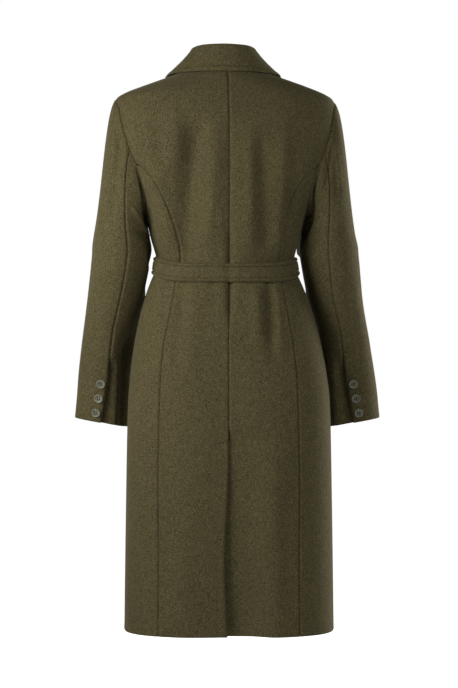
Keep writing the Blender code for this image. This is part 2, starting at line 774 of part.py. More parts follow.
def add_belt_knot():
    shape = bmesh.new()
    bmesh.ops.create_uvsphere(shape, u_segments=KNOT_SEGMENTS, v_segments=KNOT_RINGS, radius=1)
    edges = BELT_SIDE_HEIGHT + np.array([-BELT_HALF_WIDTH, BELT_HALF_WIDTH])
    front = np.min(body(FRONT_MIDDLE, edges)[:, 1])
    reach = BELT_CLEAR + BELT_WALL + SEAM_GAP + KNOT_SIZE.y
    middle = Vector((0, front - reach, BELT_SIDE_HEIGHT - SIDE_NECK))
    for vertex in shape.verts:
        square = [signed_power(value, KNOT_SQUARENESS) * size for value, size in zip(vertex.co, KNOT_SIZE)]
        vertex.co = (middle + Vector(square)) * MM
    add_object("belt_knot", shape)


def add_belt_ends():
    for name, side in (("left", 1), ("right", -1)):
        shares = np.linspace(0, 1, END_ROWS)
        heights = END_TOP - END_LENGTHS[name] * shares
        middle = through(END_SHAPE, "share", "across", shares)
        half = through(END_SHAPE, "share", "half_width", shares)
        across = between(middle - half, middle + half, np.linspace(0, 1, END_COLUMNS))
        height = np.repeat(heights[:, None], END_COLUMNS, axis=1)
        angle = angle_at(side * across, height, FRONT)
        face = body(angle, height)
        facing = body_normals(angle, height)
        add_sheet("belt_end_" + name, face + facing * (END_CLEAR + END_WALL), face + facing * END_CLEAR)


# Cuff buttons
def button_shape():
    shape = bmesh.new()
    turns = np.linspace(0, 2 * np.pi, BUTTON_SEGMENTS, endpoint=False)
    rings = []
    for row in BUTTON_PROFILE:
        ring = [shape.verts.new((row.radius * np.cos(t), row.radius * np.sin(t), row.rise)) for t in turns]
        rings.append(ring)
    for low, high in zip(rings, rings[1:]):
        for index in range(BUTTON_SEGMENTS):
            after = (index + 1) % BUTTON_SEGMENTS
            shape.faces.new([low[index], low[after], high[after], high[index]])
    shape.faces.new(rings[0])
    shape.faces.new(rings[-1])
    return shape


def hole_cutter(name, place):
    shape = bmesh.new()
    for x in (-1, 1):
        for y in (-1, 1):
            at = Matrix.Translation((x * BUTTON_HOLE_SPREAD, y * BUTTON_HOLE_SPREAD, 0))
            bmesh.ops.create_cone(shape, cap_ends=True, segments=BUTTON_HOLE_SIDES,
                                  radius1=BUTTON_HOLE_RADIUS, radius2=BUTTON_HOLE_RADIUS,
                                  depth=BUTTON_CUTTER_LENGTH, matrix=at)
    bmesh.ops.transform(shape, matrix=place, verts=shape.verts)
    cutter = add_object(name, shape, BUTTON_COLOUR, BUTTON_ROUGHNESS)
    cutter.hide_render = True
    cutter.display_type = "WIRE"
    return cutter


def add_buttons():
    for name, side in (("left", 1), ("right", -1)):
        for number, height in enumerate(BUTTON_HEIGHTS, 1):
            run = 1 + (CAP_END - height) / (CAP_END - CUFF)
            turn = through(SLEEVE_SEAMS, "run", "upper_edge", run) - BUTTON_INSET
            facing = Vector(sleeve_normals(turn, run) * np.array([side, 1, 1]))
            seat = Vector(sided_sleeve(sleeve(turn, run), side)) + facing * SEAM_GAP
            turned = facing.to_track_quat("Z", "Y").to_matrix().to_4x4()
            place = Matrix.Scale(MM, 4) @ Matrix.Translation(seat) @ turned
            node = "cuff_button_" + name + "_" + str(number)
            shape = button_shape()
            bmesh.ops.transform(shape, matrix=place, verts=shape.verts)
            button = add_object(node, shape, BUTTON_COLOUR, BUTTON_ROUGHNESS)
            cut = button.modifiers.new("holes", "BOOLEAN")
            cut.operation = "DIFFERENCE"
            cut.solver = "EXACT"
            cut.object = hole_cutter(node + "_holes", place)


for old in list(bpy.data.objects):
    bpy.data.objects.remove(old, do_unlink=True)
add_backs()
add_side_backs()
add_fronts()
add_sleeves()
add_collar()
add_belt_band()
add_belt_knot()
add_belt_ends()
add_buttons()
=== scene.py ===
"""Long belted wool coat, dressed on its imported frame.

Frame: +Z up, the front faces -Y, +X is the wearer's left.
The tables are in millimetres and degrees; heights count up from the hem.
Angles go round the body from the centre back (0) over the wearer's left side (90) to the front (180).
"""
from collections import namedtuple

import bmesh
import bpy
import numpy as np
from mathutils import Matrix, Vector


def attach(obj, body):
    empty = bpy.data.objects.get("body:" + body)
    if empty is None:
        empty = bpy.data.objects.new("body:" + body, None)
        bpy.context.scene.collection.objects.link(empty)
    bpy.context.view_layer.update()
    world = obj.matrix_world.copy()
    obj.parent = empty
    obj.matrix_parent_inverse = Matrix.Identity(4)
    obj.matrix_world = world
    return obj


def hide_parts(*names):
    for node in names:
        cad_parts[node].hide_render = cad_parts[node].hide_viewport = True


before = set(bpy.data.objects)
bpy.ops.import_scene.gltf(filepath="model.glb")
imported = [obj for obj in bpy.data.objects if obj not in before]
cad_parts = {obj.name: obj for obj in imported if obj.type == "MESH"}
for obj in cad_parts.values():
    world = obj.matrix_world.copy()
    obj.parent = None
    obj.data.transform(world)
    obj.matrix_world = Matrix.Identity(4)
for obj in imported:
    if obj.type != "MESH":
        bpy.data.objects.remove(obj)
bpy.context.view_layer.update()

MM = 0.001
FULL_TURN = 360.0
WHITE = (1, 1, 1, 1)
TINY = 1e-12


def table(columns, *rows):
    """Rows with named columns."""
    row_kind = namedtuple("Row", columns)
    return [row_kind(*row) for row in rows]


def column(rows, name):
    return [getattr(row, name) for row in rows]


# Driving sizes
SIDE_NECK = 1085.0
WALL = 2.4
SEAM_GAP = 0.3
SIDE_SEAM = 90.0
FRONT_MIDDLE = 180.0

BODY = table(
    "height half_width depth_back depth_front squareness",
    (0, 203.5, 133, 130, 2.9),
    (189, 201, 131, 127, 2.8),
    (376, 198, 128, 123, 2.7),
    (441, 196, 126, 121, 2.65),
    (499, 190, 123, 118, 2.6),
    (550, 182, 119, 115, 2.5),
    (599, 171, 114, 111, 2.45),
    (642, 158, 108, 107, 2.4),
    (680, 143, 100, 102, 2.4),
    (690, 138, 98, 100, 2.4),
    (704, 133.5, 97, 99, 2.4),
    (718, 134, 98, 100, 2.4),
    (735, 138, 101, 104, 2.4),
    (751, 143, 104, 107, 2.4),
    (780, 150, 108, 111, 2.4),
    (803, 157, 111, 115, 2.4),
    (838, 176, 114, 119, 2.4),
    (866, 192, 116, 121, 2.4),
    (895, 206, 117, 121, 2.4),
    (920, 215, 117, 119, 2.4),
    (960, 222, 114, 114, 2.4),
    (985, 222, 111, 109, 2.4),
    (1005, 219, 107, 104, 2.4),
    (1018, 215, 103, 101, 2.4),
    (1028, 210, 100, 98, 2.4),
    (1036, 198, 97, 95, 2.4),
    (1050, 164, 91, 89, 2.3),
    (1070, 108, 80, 79, 2.2),
    (1085, 70, 70, 70, 2.1),
)

# Hang of the coat: the skirt swings aside and turns a little below the belt
HANG = table(
    "height sway twist",
    (0, -9, -4.5),
    (440, -9, -4.5),
    (550, -6.5, -3.3),
    (642, -3.5, -1.2),
    (704, -2, 0),
    (803, -1.5, 0),
    (1028, -1, 0),
    (1050, -1.5, 0),
    (1085, 2, 0),
    (1130, 4, 0),
)

# Soft folds: a ridge (rise above 0) or trough (below 0) running from one place to another
BACK = 1
FRONT = -1
FOLD_ROW = "face top across_top bottom across_bottom half_width rise"
BODY_FOLDS = table(
    FOLD_ROW,
    (BACK, 1000, 26, 716, 42, 13, 3.0),
    (BACK, 985, 60, 716, 98, 15, -3.0),
    (BACK, 1000, 100, 880, 96, 13, 2.0),
    (BACK, 990, 138, 880, 128, 12, -2.0),
    (BACK, 990, -40, 716, -40, 13, 3.0),
    (BACK, 960, -62, 716, -73, 12, -3.0),
    (BACK, 985, -108, 716, -93, 13, 3.0),
    (BACK, 930, -128, 716, -112, 10, -2.0),
    (BACK, 1000, 0, 560, 0, 9, -3.0),
    (BACK, 620, 0, -150, 0, 36, -5.0),
    (BACK, 664, -52, 540, -56, 12, 2.5),
    (BACK, 664, -76, 500, -84, 12, -3.0),
    (BACK, 664, -92, 520, -100, 9, 2.5),
    (BACK, 664, 60, 480, 74, 14, 2.5),
    (BACK, 664, 88, 470, 100, 12, -2.5),
    (BACK, 420, 84, -80, 92, 26, 3.0),
    (BACK, 420, -84, -80, -94, 26, 3.0),
    (FRONT, 950, 86, 730, 62, 18, 3.0),
    (FRONT, 950, -80, 730, -66, 18, 3.0),
    (FRONT, 664, 96, 470, 106, 14, -3.0),
    (FRONT, 664, -90, 470, -104, 14, -3.0),
)
# A fold fades over this share of its length at each end, and as the body turns to the other face
FOLD_FADE = 0.22
FACE_FADE = 0.35

# Seam lines: places across from the middle, on the back or the front
PRINCESS = table(
    "height across",
    (0, 134),
    (146, 133),
    (279, 134),
    (372, 133),
    (478, 130),
    (540, 124.5),
    (610, 112),
    (672, 101),
    (704, 97),
    (768, 106),
    (810, 116.5),
    (844, 130),
    (876, 151),
    (895, 175),
)
ARMHOLE = table(
    "turn across height face",
    (0, 210, 1028, BACK),
    (25, 207, 1005, BACK),
    (50, 200, 969, BACK),
    (70, 192.5, 940, BACK),
    (85, 186, 920, BACK),
    (100, 175, 895, BACK),
    (118, 165, 866, BACK),
    (138, 158.5, 838, BACK),
    (158, 156.5, 815, BACK),
    (180, 157, 803, BACK),
    (202, 156, 815, FRONT),
    (222, 157, 838, FRONT),
    (242, 162, 866, FRONT),
    (260, 170, 895, FRONT),
    (275, 180, 920, FRONT),
    (290, 188, 940, FRONT),
    (310, 198, 969, FRONT),
    (335, 206.5, 1005, FRONT),
    (360, 210, 1028, FRONT),
)
NECKLINE = table(
    "share across height face",
    (0.0, 0, 1082, BACK),
    (0.10, 25, 1082.3, BACK),
    (0.22, 50, 1083.3, BACK),
    (0.34, 66, 1084.5, BACK),
    (0.43, 70, 1085, BACK),
    (0.55, 72.5, 1078, FRONT),
    (0.66, 73, 1062, FRONT),
    (0.78, 67, 1035, FRONT),
    (0.90, 42, 1010, FRONT),
    (1.0, 0, 1002, FRONT),
)

# Back vent: the left half laps over the right one
VENT_TOP = 372.0
VENT_BLEND = 28.0
VENT_UNDERLAP = 40.0
VENT_SINK = 5.2
VENT_SINK_FULL = -34.0
VENT_SINK_NONE = -92.0
VENT_EDGE = table(
    "height lean",
    (0, 3),
    (60, 6),
    (120, 8),
    (180, 7),
    (278, 2),
    (372, 0),
    (400, 0),
)

# Front wrap: the right front laps over the left one
WRAP = 42.0
WRAP_SINK = 4.0
WRAP_SINK_FULL = 52.0
WRAP_SINK_NONE = 88.0

# Rows that the body panels share
HEM_ROWS = [0, 0.5, 1.2, 2.4, 4.2, 7.0]
SKIRT_ROWS = [0, 80, 160, 250, 344, 372, 400, 441, 485, 525, 562, 599, 632, 662]
BODICE_ROWS = [683, 704, 726, 752, 778, 803]
LOW_ROWS = HEM_ROWS + SKIRT_ROWS[1:] + BODICE_ROWS
ARMHOLE_BOTTOM = 180.0
SIDE_TOPS = table(
    "princess_height turn",
    (828, 162),
    (852, 143),
    (872, 124),
    (886, 109),
    (892.5, 102.5),
)
BACK_TURNS = [100, 85, 70, 50, 25]
FRONT_TURNS = [198, 216, 232, 242, 260, 275, 290, 310]
BACK_TOPS = table(
    "shoulder_height middle_height neck_share",
    (1028, 1030, 0),
    (1042, 1052, 0),
    (1056, 1070, 0),
    (1067, 1082, 0),
    (1075, 1082, 0.14),
    (1081, 1082, 0.26),
    (1084.3, 1082, 0.37),
)
FRONT_TOPS = table(
    "turn shoulder_height neck_share drop",
    (335, None, 1.10, 12),
    (360, None, 0.98, 0),
    (None, 1042, 0.87, 0),
    (None, 1056, 0.77, 0),
    (None, 1067, 0.68, 0),
    (None, 1075, 0.60, 0),
    (None, 1081, 0.53, 0),
    (None, 1084.3, 0.475, 0),
)

# Sleeves: a cap from the armhole to the first ring, then rings down to the cuff
SLEEVE = table(
    "height out back half_out half_depth slant swing",
    (397, 249, -72, 54, 49, 18, 3.5),
    (480, 242.5, -66, 52.5, 53, 10, 3.5),
    (540, 236, -54, 50.5, 57, 6, 2.5),
    (580, 230, -44, 50, 60, 4, 1.5),
    (640, 217, -28, 53.5, 64, 2, 0),
    (680, 210, -18, 56, 67, 0, -1.5),
    (704, 206.5, -14, 57, 69, 0, -2),
    (735, 202.5, -8, 58, 71.5, 0, -1.5),
    (765, 202, -4, 53.5, 73, 0, 0),
)
CAP_END = 765.0
CAP_SLOPE_STEP = 20.0
CUFF = 397.0
CAP_STARTS = table(
    "turn out back up",
    (0, 62, 0, -32),
    (45, 60, 16, -48),
    (85, 46, 14, -80),
    (130, 26, 18, -60),
    (180, 6, 0, -30),
    (230, 26, -18, -60),
    (275, 44, -18, -80),
    (315, 60, -18, -48),
    (360, 62, 0, -32),
)
SLEEVE_SEAMS = table(
    "run upper_edge under_edge front sink",
    (0.0, 85, 85, 242, 0),
    (1.0, 98.5, 98.5, 236, 0),
    (1.35, 102, 102, 235, 0),
    (1.62, 101.5, 101.5, 235, 0),
    (1.728, 101, 101, 235, 3.6),
    (1.78, 100, 83, 235, 3.6),
    (1.86, 97, 79, 235, 3.6),
    (2.0, 91, 74, 235, 3.6),
)
SLEEVE_SINK_FULL = 106.0
SLEEVE_SINK_NONE = 130.0

# Collar: stand, fold and fall along the neckline; its outer edge lies on the body
COLLAR = table(
    "share stand lean edge_across edge_height face",
    (0.0, 39, -2, 0, 1071, BACK),
    (0.15, 38, -3, 42, 1071, BACK),
    (0.30, 34.5, -7, 84, 1070.5, BACK),
    (0.43, 30, -13, 107, 1070, BACK),
    (0.55, 27, -13, 110, 1062, FRONT),
    (0.70, 28, -6, 106, 1030, FRONT),
    (0.85, 26, -3, 86, 990, FRONT),
    (0.98, 22, 0, 52, 952, FRONT),
)
COLLAR_WALL = 2.6
COLLAR_FOLD_RADIUS = 2.2
COLLAR_CLEAR = 2.6
COLLAR_BULGE = 1.5

# Tie belt
BELT_HALF_WIDTH = 18.0
BELT_WALL = 4.0
BELT_CLEAR = 1.0
BELT_SIDE_HEIGHT = 704.0
BELT_BACK_DIP = 17.0
KNOT_SIZE = (25.0, 11.0, 24.0)
KNOT_SQUARENESS = 0.62
KNOT_SEGMENTS = 56
KNOT_RINGS = 40
END_TOP = 679.0
END_WALL = 3.4
END_CLEAR = 0.6
END_SHAPE = table(
    "share across half_width",
    (0, 12.5, 11),
    (0.2, 20, 17),
    (0.45, 25, 18),
    (1, 34, 18),
)
END_LENGTHS = {"left": 390.0, "right": 350.0}

# Cuff buttons
BUTTON_HEIGHTS = [415.0, 444.0, 473.0]
BUTTON_INSET = 13.5
BUTTON_SEGMENTS = 40
BUTTON_PROFILE = table(
    "radius rise",
    (7.6, 0),
    (8.7, 0.9),
    (8.8, 2.2),
    (8.1, 3.1),
    (7.0, 3.1),
    (6.0, 2.3),
    (5.3, 1.3),
    (4.6, 1.1),
)
BUTTON_HOLE_RADIUS = 1.35
BUTTON_HOLE_SPREAD = 1.9
BUTTON_HOLE_SIDES = 14
BUTTON_CUTTER_LENGTH = 12.0

# Creases of the body, placed on top of the soft folds
CREASES = table(
    FOLD_ROW,
    (BACK, 990, 30, 706, 50, 15, 3.5),
    (BACK, 1000, 60, 664, 90, 32, -21.0),
    (BACK, 900, 148, 690, 104, 15, 6.0),
    (BACK, 1000, 100, 890, 100, 11, 1.5),
    (BACK, 980, 138, 890, 128, 11, -1.5),
    (BACK, 960, 4, 700, 5, 12, -2.5),
    (BACK, 970, -38, 704, -38, 14, 2.5),
    (BACK, 950, -60, 702, -71, 13, -2.5),
    (BACK, 970, -104, 706, -95, 14, 1.8),
    (BACK, 860, -120, 690, -107, 9, -3.0),
    (BACK, 770, 0, 696, -1, 5, -3.0),
    (BACK, 762, 20, 700, 21, 7, -1.2),
    (BACK, 690, -76, 540, -83, 9, -5.0),
    (BACK, 674, -50, 560, -54, 12, 2.0),
    (BACK, 690, -118, 560, -128, 9, -2.5),
    (BACK, 694, -2, 590, -2, 6, -4.5),
    (BACK, 690, 30, 600, 34, 9, -1.4),
    (BACK, 692, 84, 590, 92, 9, -2.2),
    (BACK, 690, 112, 570, 128, 8, -1.6),
    (BACK, 360, 62, 30, 70, 24, 1.6),
    (BACK, 330, -62, 20, -58, 22, 1.6),
    (BACK, 350, 112, 30, 118, 16, -1.6),
    (BACK, 300, -108, 10, -112, 14, -1.4),
    (FRONT, 800, 58, 704, 48, 8, -2.0),
    (FRONT, 790, -70, 704, -58, 8, -2.4),
    (FRONT, 770, 100, 706, 90, 7, -1.8),
    (FRONT, 775, -108, 706, -98, 7, -1.6),
    (FRONT, 690, 66, 590, 74, 8, -2.2),
    (FRONT, 690, -74, 570, -82, 8, -2.4),
    (FRONT, 690, 118, 590, 128, 8, -1.8),
    (FRONT, 690, -120, 600, -130, 8, -1.6),
    (FRONT, 400, 70, 20, 78, 22, 2.0),
    (FRONT, 380, -96, 30, -104, 24, 2.2),
    (FRONT, 960, 128, 860, 96, 12, 1.6),
    (FRONT, 960, -122, 870, -92, 12, 1.4),
)

# Creases of the sleeves: runs and turns as in the sleeve's own surface
LEFT = 1
RIGHT = -1
SIDES = {"left": LEFT, "right": RIGHT}
SLEEVE_FOLD_ROW = "top_run top_turn bottom_run bottom_turn half_width rise"
SLEEVE_FOLDS = {
    LEFT: table(
        SLEEVE_FOLD_ROW,
        (0.06, 60, 0.95, 62, 15, -9.0),
        (0.02, 76, 0.60, 77, 9, 2.5),
        (0.0, 118, 0.30, 170, 14, -13.0),
        (0.18, 150, 0.82, 166, 11, -8.0),
        (0.94, 220, 1.15, 222, 11, 15.0),
        (0.55, 112, 1.02, 168, 10, 3.5),
        (0.96, 128, 1.18, 180, 11, -6.0),
        (0.2, 206, 1.14, 206, 13, 6.5),
        (1.24, 203, 1.72, 200, 15, 11.0),
        (1.45, 148, 2.25, 150, 24, -14.0),
        (0.75, 30, 1.30, 42, 14, 2.0),
        (1.20, 66, 1.75, 58, 14, -1.6),
        (1.15, 200, 1.32, 262, 9, -2.6),
        (1.30, 196, 1.44, 256, 8, -2.0),
        (0.25, 292, 0.95, 300, 12, -2.4),
        (1.00, 320, 1.60, 330, 15, 1.6),
    ),
    RIGHT: table(
        SLEEVE_FOLD_ROW,
        (0.11, 72, 0.42, 100, 10, -4.0),
        (0.0, 124, 0.34, 172, 17, -17.0),
        (0.95, 216, 1.13, 218, 12, 12.0),
        (0.15, 142, 1.16, 168, 17, -12.0),
        (0.2, 206, 1.02, 206, 13, 6.0),
        (1.26, 203, 1.68, 200, 15, 8.0),
        (0.16, 58, 0.62, 64, 5, 2.2),
        (0.20, 68, 0.70, 76, 8, -2.4),
        (0.62, 66, 0.98, 84, 6, 1.8),
        (0.70, 122, 1.10, 158, 9, 2.4),
        (1.02, 126, 1.22, 172, 8, -2.6),
        (1.15, 62, 1.72, 60, 13, -1.8),
        (1.12, 204, 1.30, 264, 9, -2.4),
        (1.28, 198, 1.40, 250, 8, -2.2),
        (0.25, 288, 0.90, 298, 12, -2.2),
        (1.05, 316, 1.55, 322, 15, 1.6),
    ),
}

# How a sheet's outer face falls at its edges and swells beside them; the armhole seams lie flatter
EdgeKind = namedtuple("EdgeKind", "depth width puff puff_at puff_width")
SEAM = EdgeKind(2.0, 1.5, 0.5, 5.0, 3.0)
CAP_SEAM = EdgeKind(0.3, 1.5, 0.4, 5.0, 3.0)
TURNED = EdgeKind(0.8, 0.9, 0.25, 5.0, 4.0)
STITCH_GROOVE = 1.7
STITCH_GROOVE_WIDTH = 1.2

# Visible seams: how far a panel's edges are drawn in, and the wall that is left where its face falls
SHOWN_GAP = 0.08
CENTRE_GAP = 0.01
SHOWN_WALL = 0.4

# Sleeve head: its wall at the armhole, its gap to the body there, and the run over which it settles
HEAD_WALL = 0.7
HEAD_GAP = 0.15
CAP_SETTLED = 0.10

# How far the laps stand open: millimetres at the hem of the vent, and a share more at the cuffs
VENT_GAPE = 14.0
CUFF_GAPE = 1.9

# Spacing of the visible meshes
ROW_SPACING = 5.0
EDGE_SHARES = [0.0, 0.004, 0.010, 0.020, 0.034, 0.055]
COLLAR_STATIONS = 110
BELT_STATIONS = 280
END_STATIONS = 90

# Top stitching
STITCH_LENGTH = 3.0
STITCH_GAP = 0.7
STITCH_RADIUS = 0.32
STITCH_SIDES = 6
STITCH_RINGS = table(
    "place radius sink",
    (-0.5, 0.45, 0.45),
    (-0.3, 1.0, 0.05),
    (0.0, 1.1, -0.1),
    (0.3, 1.0, 0.05),
    (0.5, 0.45, 0.45),
)
COLLAR_STITCH_INSET = 10.0
COLLAR_UNSEWN_ROWS = 2
BELT_STITCH_INSET = 7.3
BELT_JOIN_ACROSS = -22.0
BELT_JOIN_WIDTH = 1.1
TACK_START = (0.0, 369.5)
TACK_END = (21.0, 365.0)
TACK_RADIUS = 0.55
TACK_STITCHES = 9

# Cut of each piece laid flat, in metres
Cut = namedtuple("Cut", "width length area held")

# Camera: behind the wearer, a little to the wearer's left; its distance and view height are in metres
CAMERA_AZIMUTH = 175.5
CAMERA_DISTANCE = 3.5
CAMERA_HEIGHT = 552.0
CAMERA_ASIDE = 9.0
VIEW_HEIGHT = 1.3416
SENSOR = 36.0

# Mesh counts
CAP_RUNS = [0, 0.003, 0.007, 0.014, 0.025, 0.04]
SLEEVE_ROWS = 130
BACK_COLUMNS = 40
SIDE_COLUMNS = 24
FRONT_COLUMNS = 64
UPPER_COLUMNS = 56
UNDER_COLUMNS = 44
BELT_COLUMNS = 40
STAND_COLUMNS = 8
ROLL_COLUMNS = 9
FALL_COLUMNS = 60
FALL_EVEN = 0.965
FALL_EDGE = [0.98, 0.988, 0.995, 1.0]
ARMHOLE_SAMPLES = 36

# Small forms
COLLAR_LIP = 0.35
COLLAR_LIP_AT = 5.0
BELT_EDGE = EdgeKind(2.4, 1.0, 0.6, 3.2, 2.2)
END_TIP = 0.03
TIP_ROWS = [0.4, 0.7, 0.86, 0.95, 1.0]
TACK_OVERLAP = 1.3
KNOT_LEAN = 0.45
KNOT_GROOVE = 2.2
KNOT_GROOVE_WIDTH = 2.4
KNOT_WRAPS = [-13.0, 1.0, 14.0]
BUTTON_STEPS = 26
BUTTON_SHARP = 40.0
BUTTON_THREAD_LENGTH = 5.6
BUTTON_THREAD_RADIUS = 0.6

# Colours of the wool, the thread and the buttons
STOP_ROW = "position red green blue"
HEATHER = table(
    STOP_ROW,
    (0.36, 0.045, 0.036, 0.013),
    (0.50, 0.096, 0.080, 0.035),
    (0.64, 0.180, 0.155, 0.079),
)
MOTTLE = table(
    STOP_ROW,
    (0.35, 0.84, 0.84, 0.82),
    (0.65, 1.0, 1.0, 1.0),
)
WEAR = table(
    STOP_ROW,
    (0.35, 0.95, 0.95, 0.96),
    (0.65, 1.0, 1.0, 1.0),
)
THREAD_TONES = table(
    STOP_ROW,
    (0.35, 0.026, 0.022, 0.010),
    (0.65, 0.060, 0.052, 0.024),
)
BUTTON_TONES = table(
    STOP_ROW,
    (0.35, 0.150, 0.155, 0.108),
    (0.65, 0.230, 0.235, 0.168),
)

# Surfaces: gloss of each material and sheen of the wool
Gloss = namedtuple("Gloss", "roughness specular")
WOOL_GLOSS = Gloss(0.95, 0.12)
THREAD_GLOSS = Gloss(0.7, 0.3)
BUTTON_GLOSS = Gloss(0.42, 0.4)
SHEEN_WEIGHT = 0.18
SHEEN_ROUGHNESS = 0.4
SHEEN_TINT = (0.62, 0.56, 0.36, 1)

# Noises: scale in repeats a metre; the wool's are drawn out along the grain
Noise = namedtuple("Noise", "scale detail roughness")
GRAIN_STRETCH = 0.6
FIBRE_NOISE = Noise(760.0, 3.0, 0.75)
MOTTLE_NOISE = Noise(190.0, 2.0, 0.6)
FELT_NOISE = Noise(190.0, 3.0, 0.6)
WEAR_NOISE = Noise(14.0, 2.0, 0.5)
THREAD_NOISE = Noise(900.0, 1.0, 0.5)
BUTTON_NOISE = Noise(160.0, 4.0, 0.6)

# Bumps: height in metres
Bump = namedtuple("Bump", "strength height")
FELT_BUMP = Bump(0.25, 0.0006)
NAP_BUMP = Bump(0.45, 0.0005)
THREAD_BUMP = Bump(0.4, 0.0002)
BUTTON_BUMP = Bump(0.08, 0.0003)

# Lamps: soft boxes round the coat, in degrees, metres and watts; azimuths as the camera's
LAMPS = table(
    "name azimuth elevation distance width height power",
    ("key", 126, 14, 1.2, 0.7, 0.7, 12.5),
    ("camera_side", 214, 28, 2.4, 1.2, 1.2, 14),
    ("rim", 294, 4, 2.2, 0.9, 1.4, 37),
    ("front", 20, 15, 2.6, 1.4, 1.6, 14),
)
LAMP_AIM = (0, 0, -0.48)
FILL_LIGHT = 0.04
BACKDROP_LIGHT = 1.0

# Floor: pale in every view; it lights the coat from in front, where it glows (along Y, in metres)
FLOOR_BELOW_HEM = 340.0
FLOOR_SIZE = 60.0
FLOOR_COLOUR = (0.9, 0.9, 0.9, 1)
FLOOR_GLOW = 1.0
GLOW_START = -0.8
GLOW_FULL = -1.3

# Small steps that measure a slope: degrees round a form, millimetres up the body, shares of a run
TURN_STEP = 0.3
HEIGHT_STEP = 1.0
RUN_STEP = 0.004
NECK_STEP = 0.005


def through(rows, key, name, at):
    """One column of a table at the given keys: a cubic through its rows that never overshoots."""
    return cubic(column(rows, key), column(rows, name), at)


def cubic(knots, values, at):
    knots = np.asarray(knots, float)
    values = np.asarray(values, float)
    steps = np.diff(knots)
    rises = np.diff(values) / steps
    slopes = np.zeros(len(values))
    slopes[0] = rises[0]
    slopes[-1] = rises[-1]
    same_way = rises[:-1] * rises[1:] > 0
    total = np.where(same_way, rises[:-1] + rises[1:], 1.0)
    slopes[1:-1] = np.where(same_way, 2 * rises[:-1] * rises[1:] / total, 0.0)
    at = np.clip(at, knots[0], knots[-1])
    cell = np.clip(np.searchsorted(knots, at, side="right") - 1, 0, len(steps) - 1)
    width = steps[cell]
    share = (at - knots[cell]) / width
    return hermite(share, values[cell], slopes[cell] * width, values[cell + 1], slopes[cell + 1] * width)


def hermite(share, start, start_slope, end, end_slope):
    square = share * share
    cube = square * share
    return ((2 * cube - 3 * square + 1) * start + (cube - 2 * square + share) * start_slope
            + (3 * square - 2 * cube) * end + (cube - square) * end_slope)


def soft_step(value):
    value = np.clip(value, 0.0, 1.0)
    return value * value * (3 - 2 * value)


def bell(away, width):
    return np.exp(-(away / width) ** 2)


def fold_ends(share):
    """How much of a fold is there along its length."""
    return soft_step(share / FOLD_FADE) * soft_step((1 - share) / FOLD_FADE)


def signed_power(value, power):
    return np.sign(value) * np.abs(value) ** power


def unit(vectors):
    return vectors / np.maximum(np.linalg.norm(vectors, axis=-1, keepdims=True), TINY)


def between(start, end, shares):
    """Rows of values from each start to each end."""
    start = np.asarray(start, float)[:, None]
    end = np.asarray(end, float)[:, None]
    return start + (end - start) * np.asarray(shares, float)[None, :]


def normals(surface, angle, row, row_step):
    along = surface(angle, row + row_step) - surface(angle, row - row_step)
    around = surface(angle + TURN_STEP, row) - surface(angle - TURN_STEP, row)
    return unit(np.cross(along, around))


def beside(along, facing, toward):
    """Direction in the surface, square to an edge, on the side of the given direction."""
    across = unit(np.cross(along, facing))
    return across * np.sign(np.sum(across * toward, axis=-1, keepdims=True))


# The body's surface
def body_plain(angle, height):
    turn = np.radians(angle)
    power = 2 / through(BODY, "height", "squareness", height)
    depth_back = through(BODY, "height", "depth_back", height)
    depth_front = through(BODY, "height", "depth_front", height)
    depth = np.where(np.cos(turn) > 0, depth_back, depth_front)
    across = through(BODY, "height", "half_width", height) * signed_power(np.sin(turn), power)
    back = depth * signed_power(np.cos(turn), power)
    return np.stack([across, back, height - SIDE_NECK], axis=-1)


def fold_rise(folds, across, angle, height):
    rise = np.zeros(np.shape(across))
    for fold in folds:
        drop = fold.top - fold.bottom
        share = (fold.top - height) / drop
        middle = fold.across_top + share * (fold.across_bottom - fold.across_top)
        spread = fold.half_width * np.hypot(1, (fold.across_bottom - fold.across_top) / drop)
        facing = soft_step(fold.face * np.cos(np.radians(angle)) / FACE_FADE)
        rise = rise + fold.rise * bell(across - middle, spread) * fold_ends(share) * facing
    return rise


def folded_body(folds):
    def surface(angle, height):
        angle, height = np.broadcast_arrays(np.asarray(angle, float), np.asarray(height, float))
        plain = body_plain(angle, height)
        rise = fold_rise(folds, plain[..., 0], angle, height)
        return plain + normals(body_plain, angle, height, HEIGHT_STEP) * rise[..., None]
    return surface


body_main = folded_body(BODY_FOLDS)
body = folded_body(BODY_FOLDS + CREASES)


def body_normals(angle, height):
    return normals(body, angle, height, HEIGHT_STEP)


def angle_at(across, height, face):
    """Angle of the place that lies so far across on the back or the front."""
    across = np.asarray(across, float)
    half_width = through(BODY, "height", "half_width", height)
    power = through(BODY, "height", "squareness", height) / 2
    turn = np.degrees(np.arcsin(np.clip(np.abs(across) / half_width, 0, 1) ** power))
    turn = np.where(np.asarray(face) == BACK, turn, FRONT_MIDDLE - turn)
    return np.where(across < 0, -turn, turn)


def seam_places(rows, key, across, height, at):
    """Angle and height along a seam table whose rows give a place across and a height."""
    keys = column(rows, key)
    heights = column(rows, height)
    angles = [angle_at(*place) for place in zip(column(rows, across), heights, column(rows, "face"))]
    return cubic(keys, angles, at), cubic(keys, heights, at)


# Lines on the body: each gives angles and heights for its keys
def armhole(turn):
    return seam_places(ARMHOLE, "turn", "across", "height", np.mod(turn, FULL_TURN))


def front_armhole(turn):
    return seam_places(ARMHOLE, "turn", "across", "height", turn)


def neckline(share):
    share = np.asarray(share, float)
    angle, height = seam_places(NECKLINE, "share", "across", "height", np.minimum(share, 2 - share))
    return np.where(share > 1, 2 * FRONT_MIDDLE - angle, angle), height


def front_neckline(share):
    angle, height = neckline(share)
    corner, level = FRONT_TOPS[:2]
    near = (share - level.neck_share) / (corner.neck_share - level.neck_share)
    return angle, height - corner.drop * np.clip(near, 0, 1)


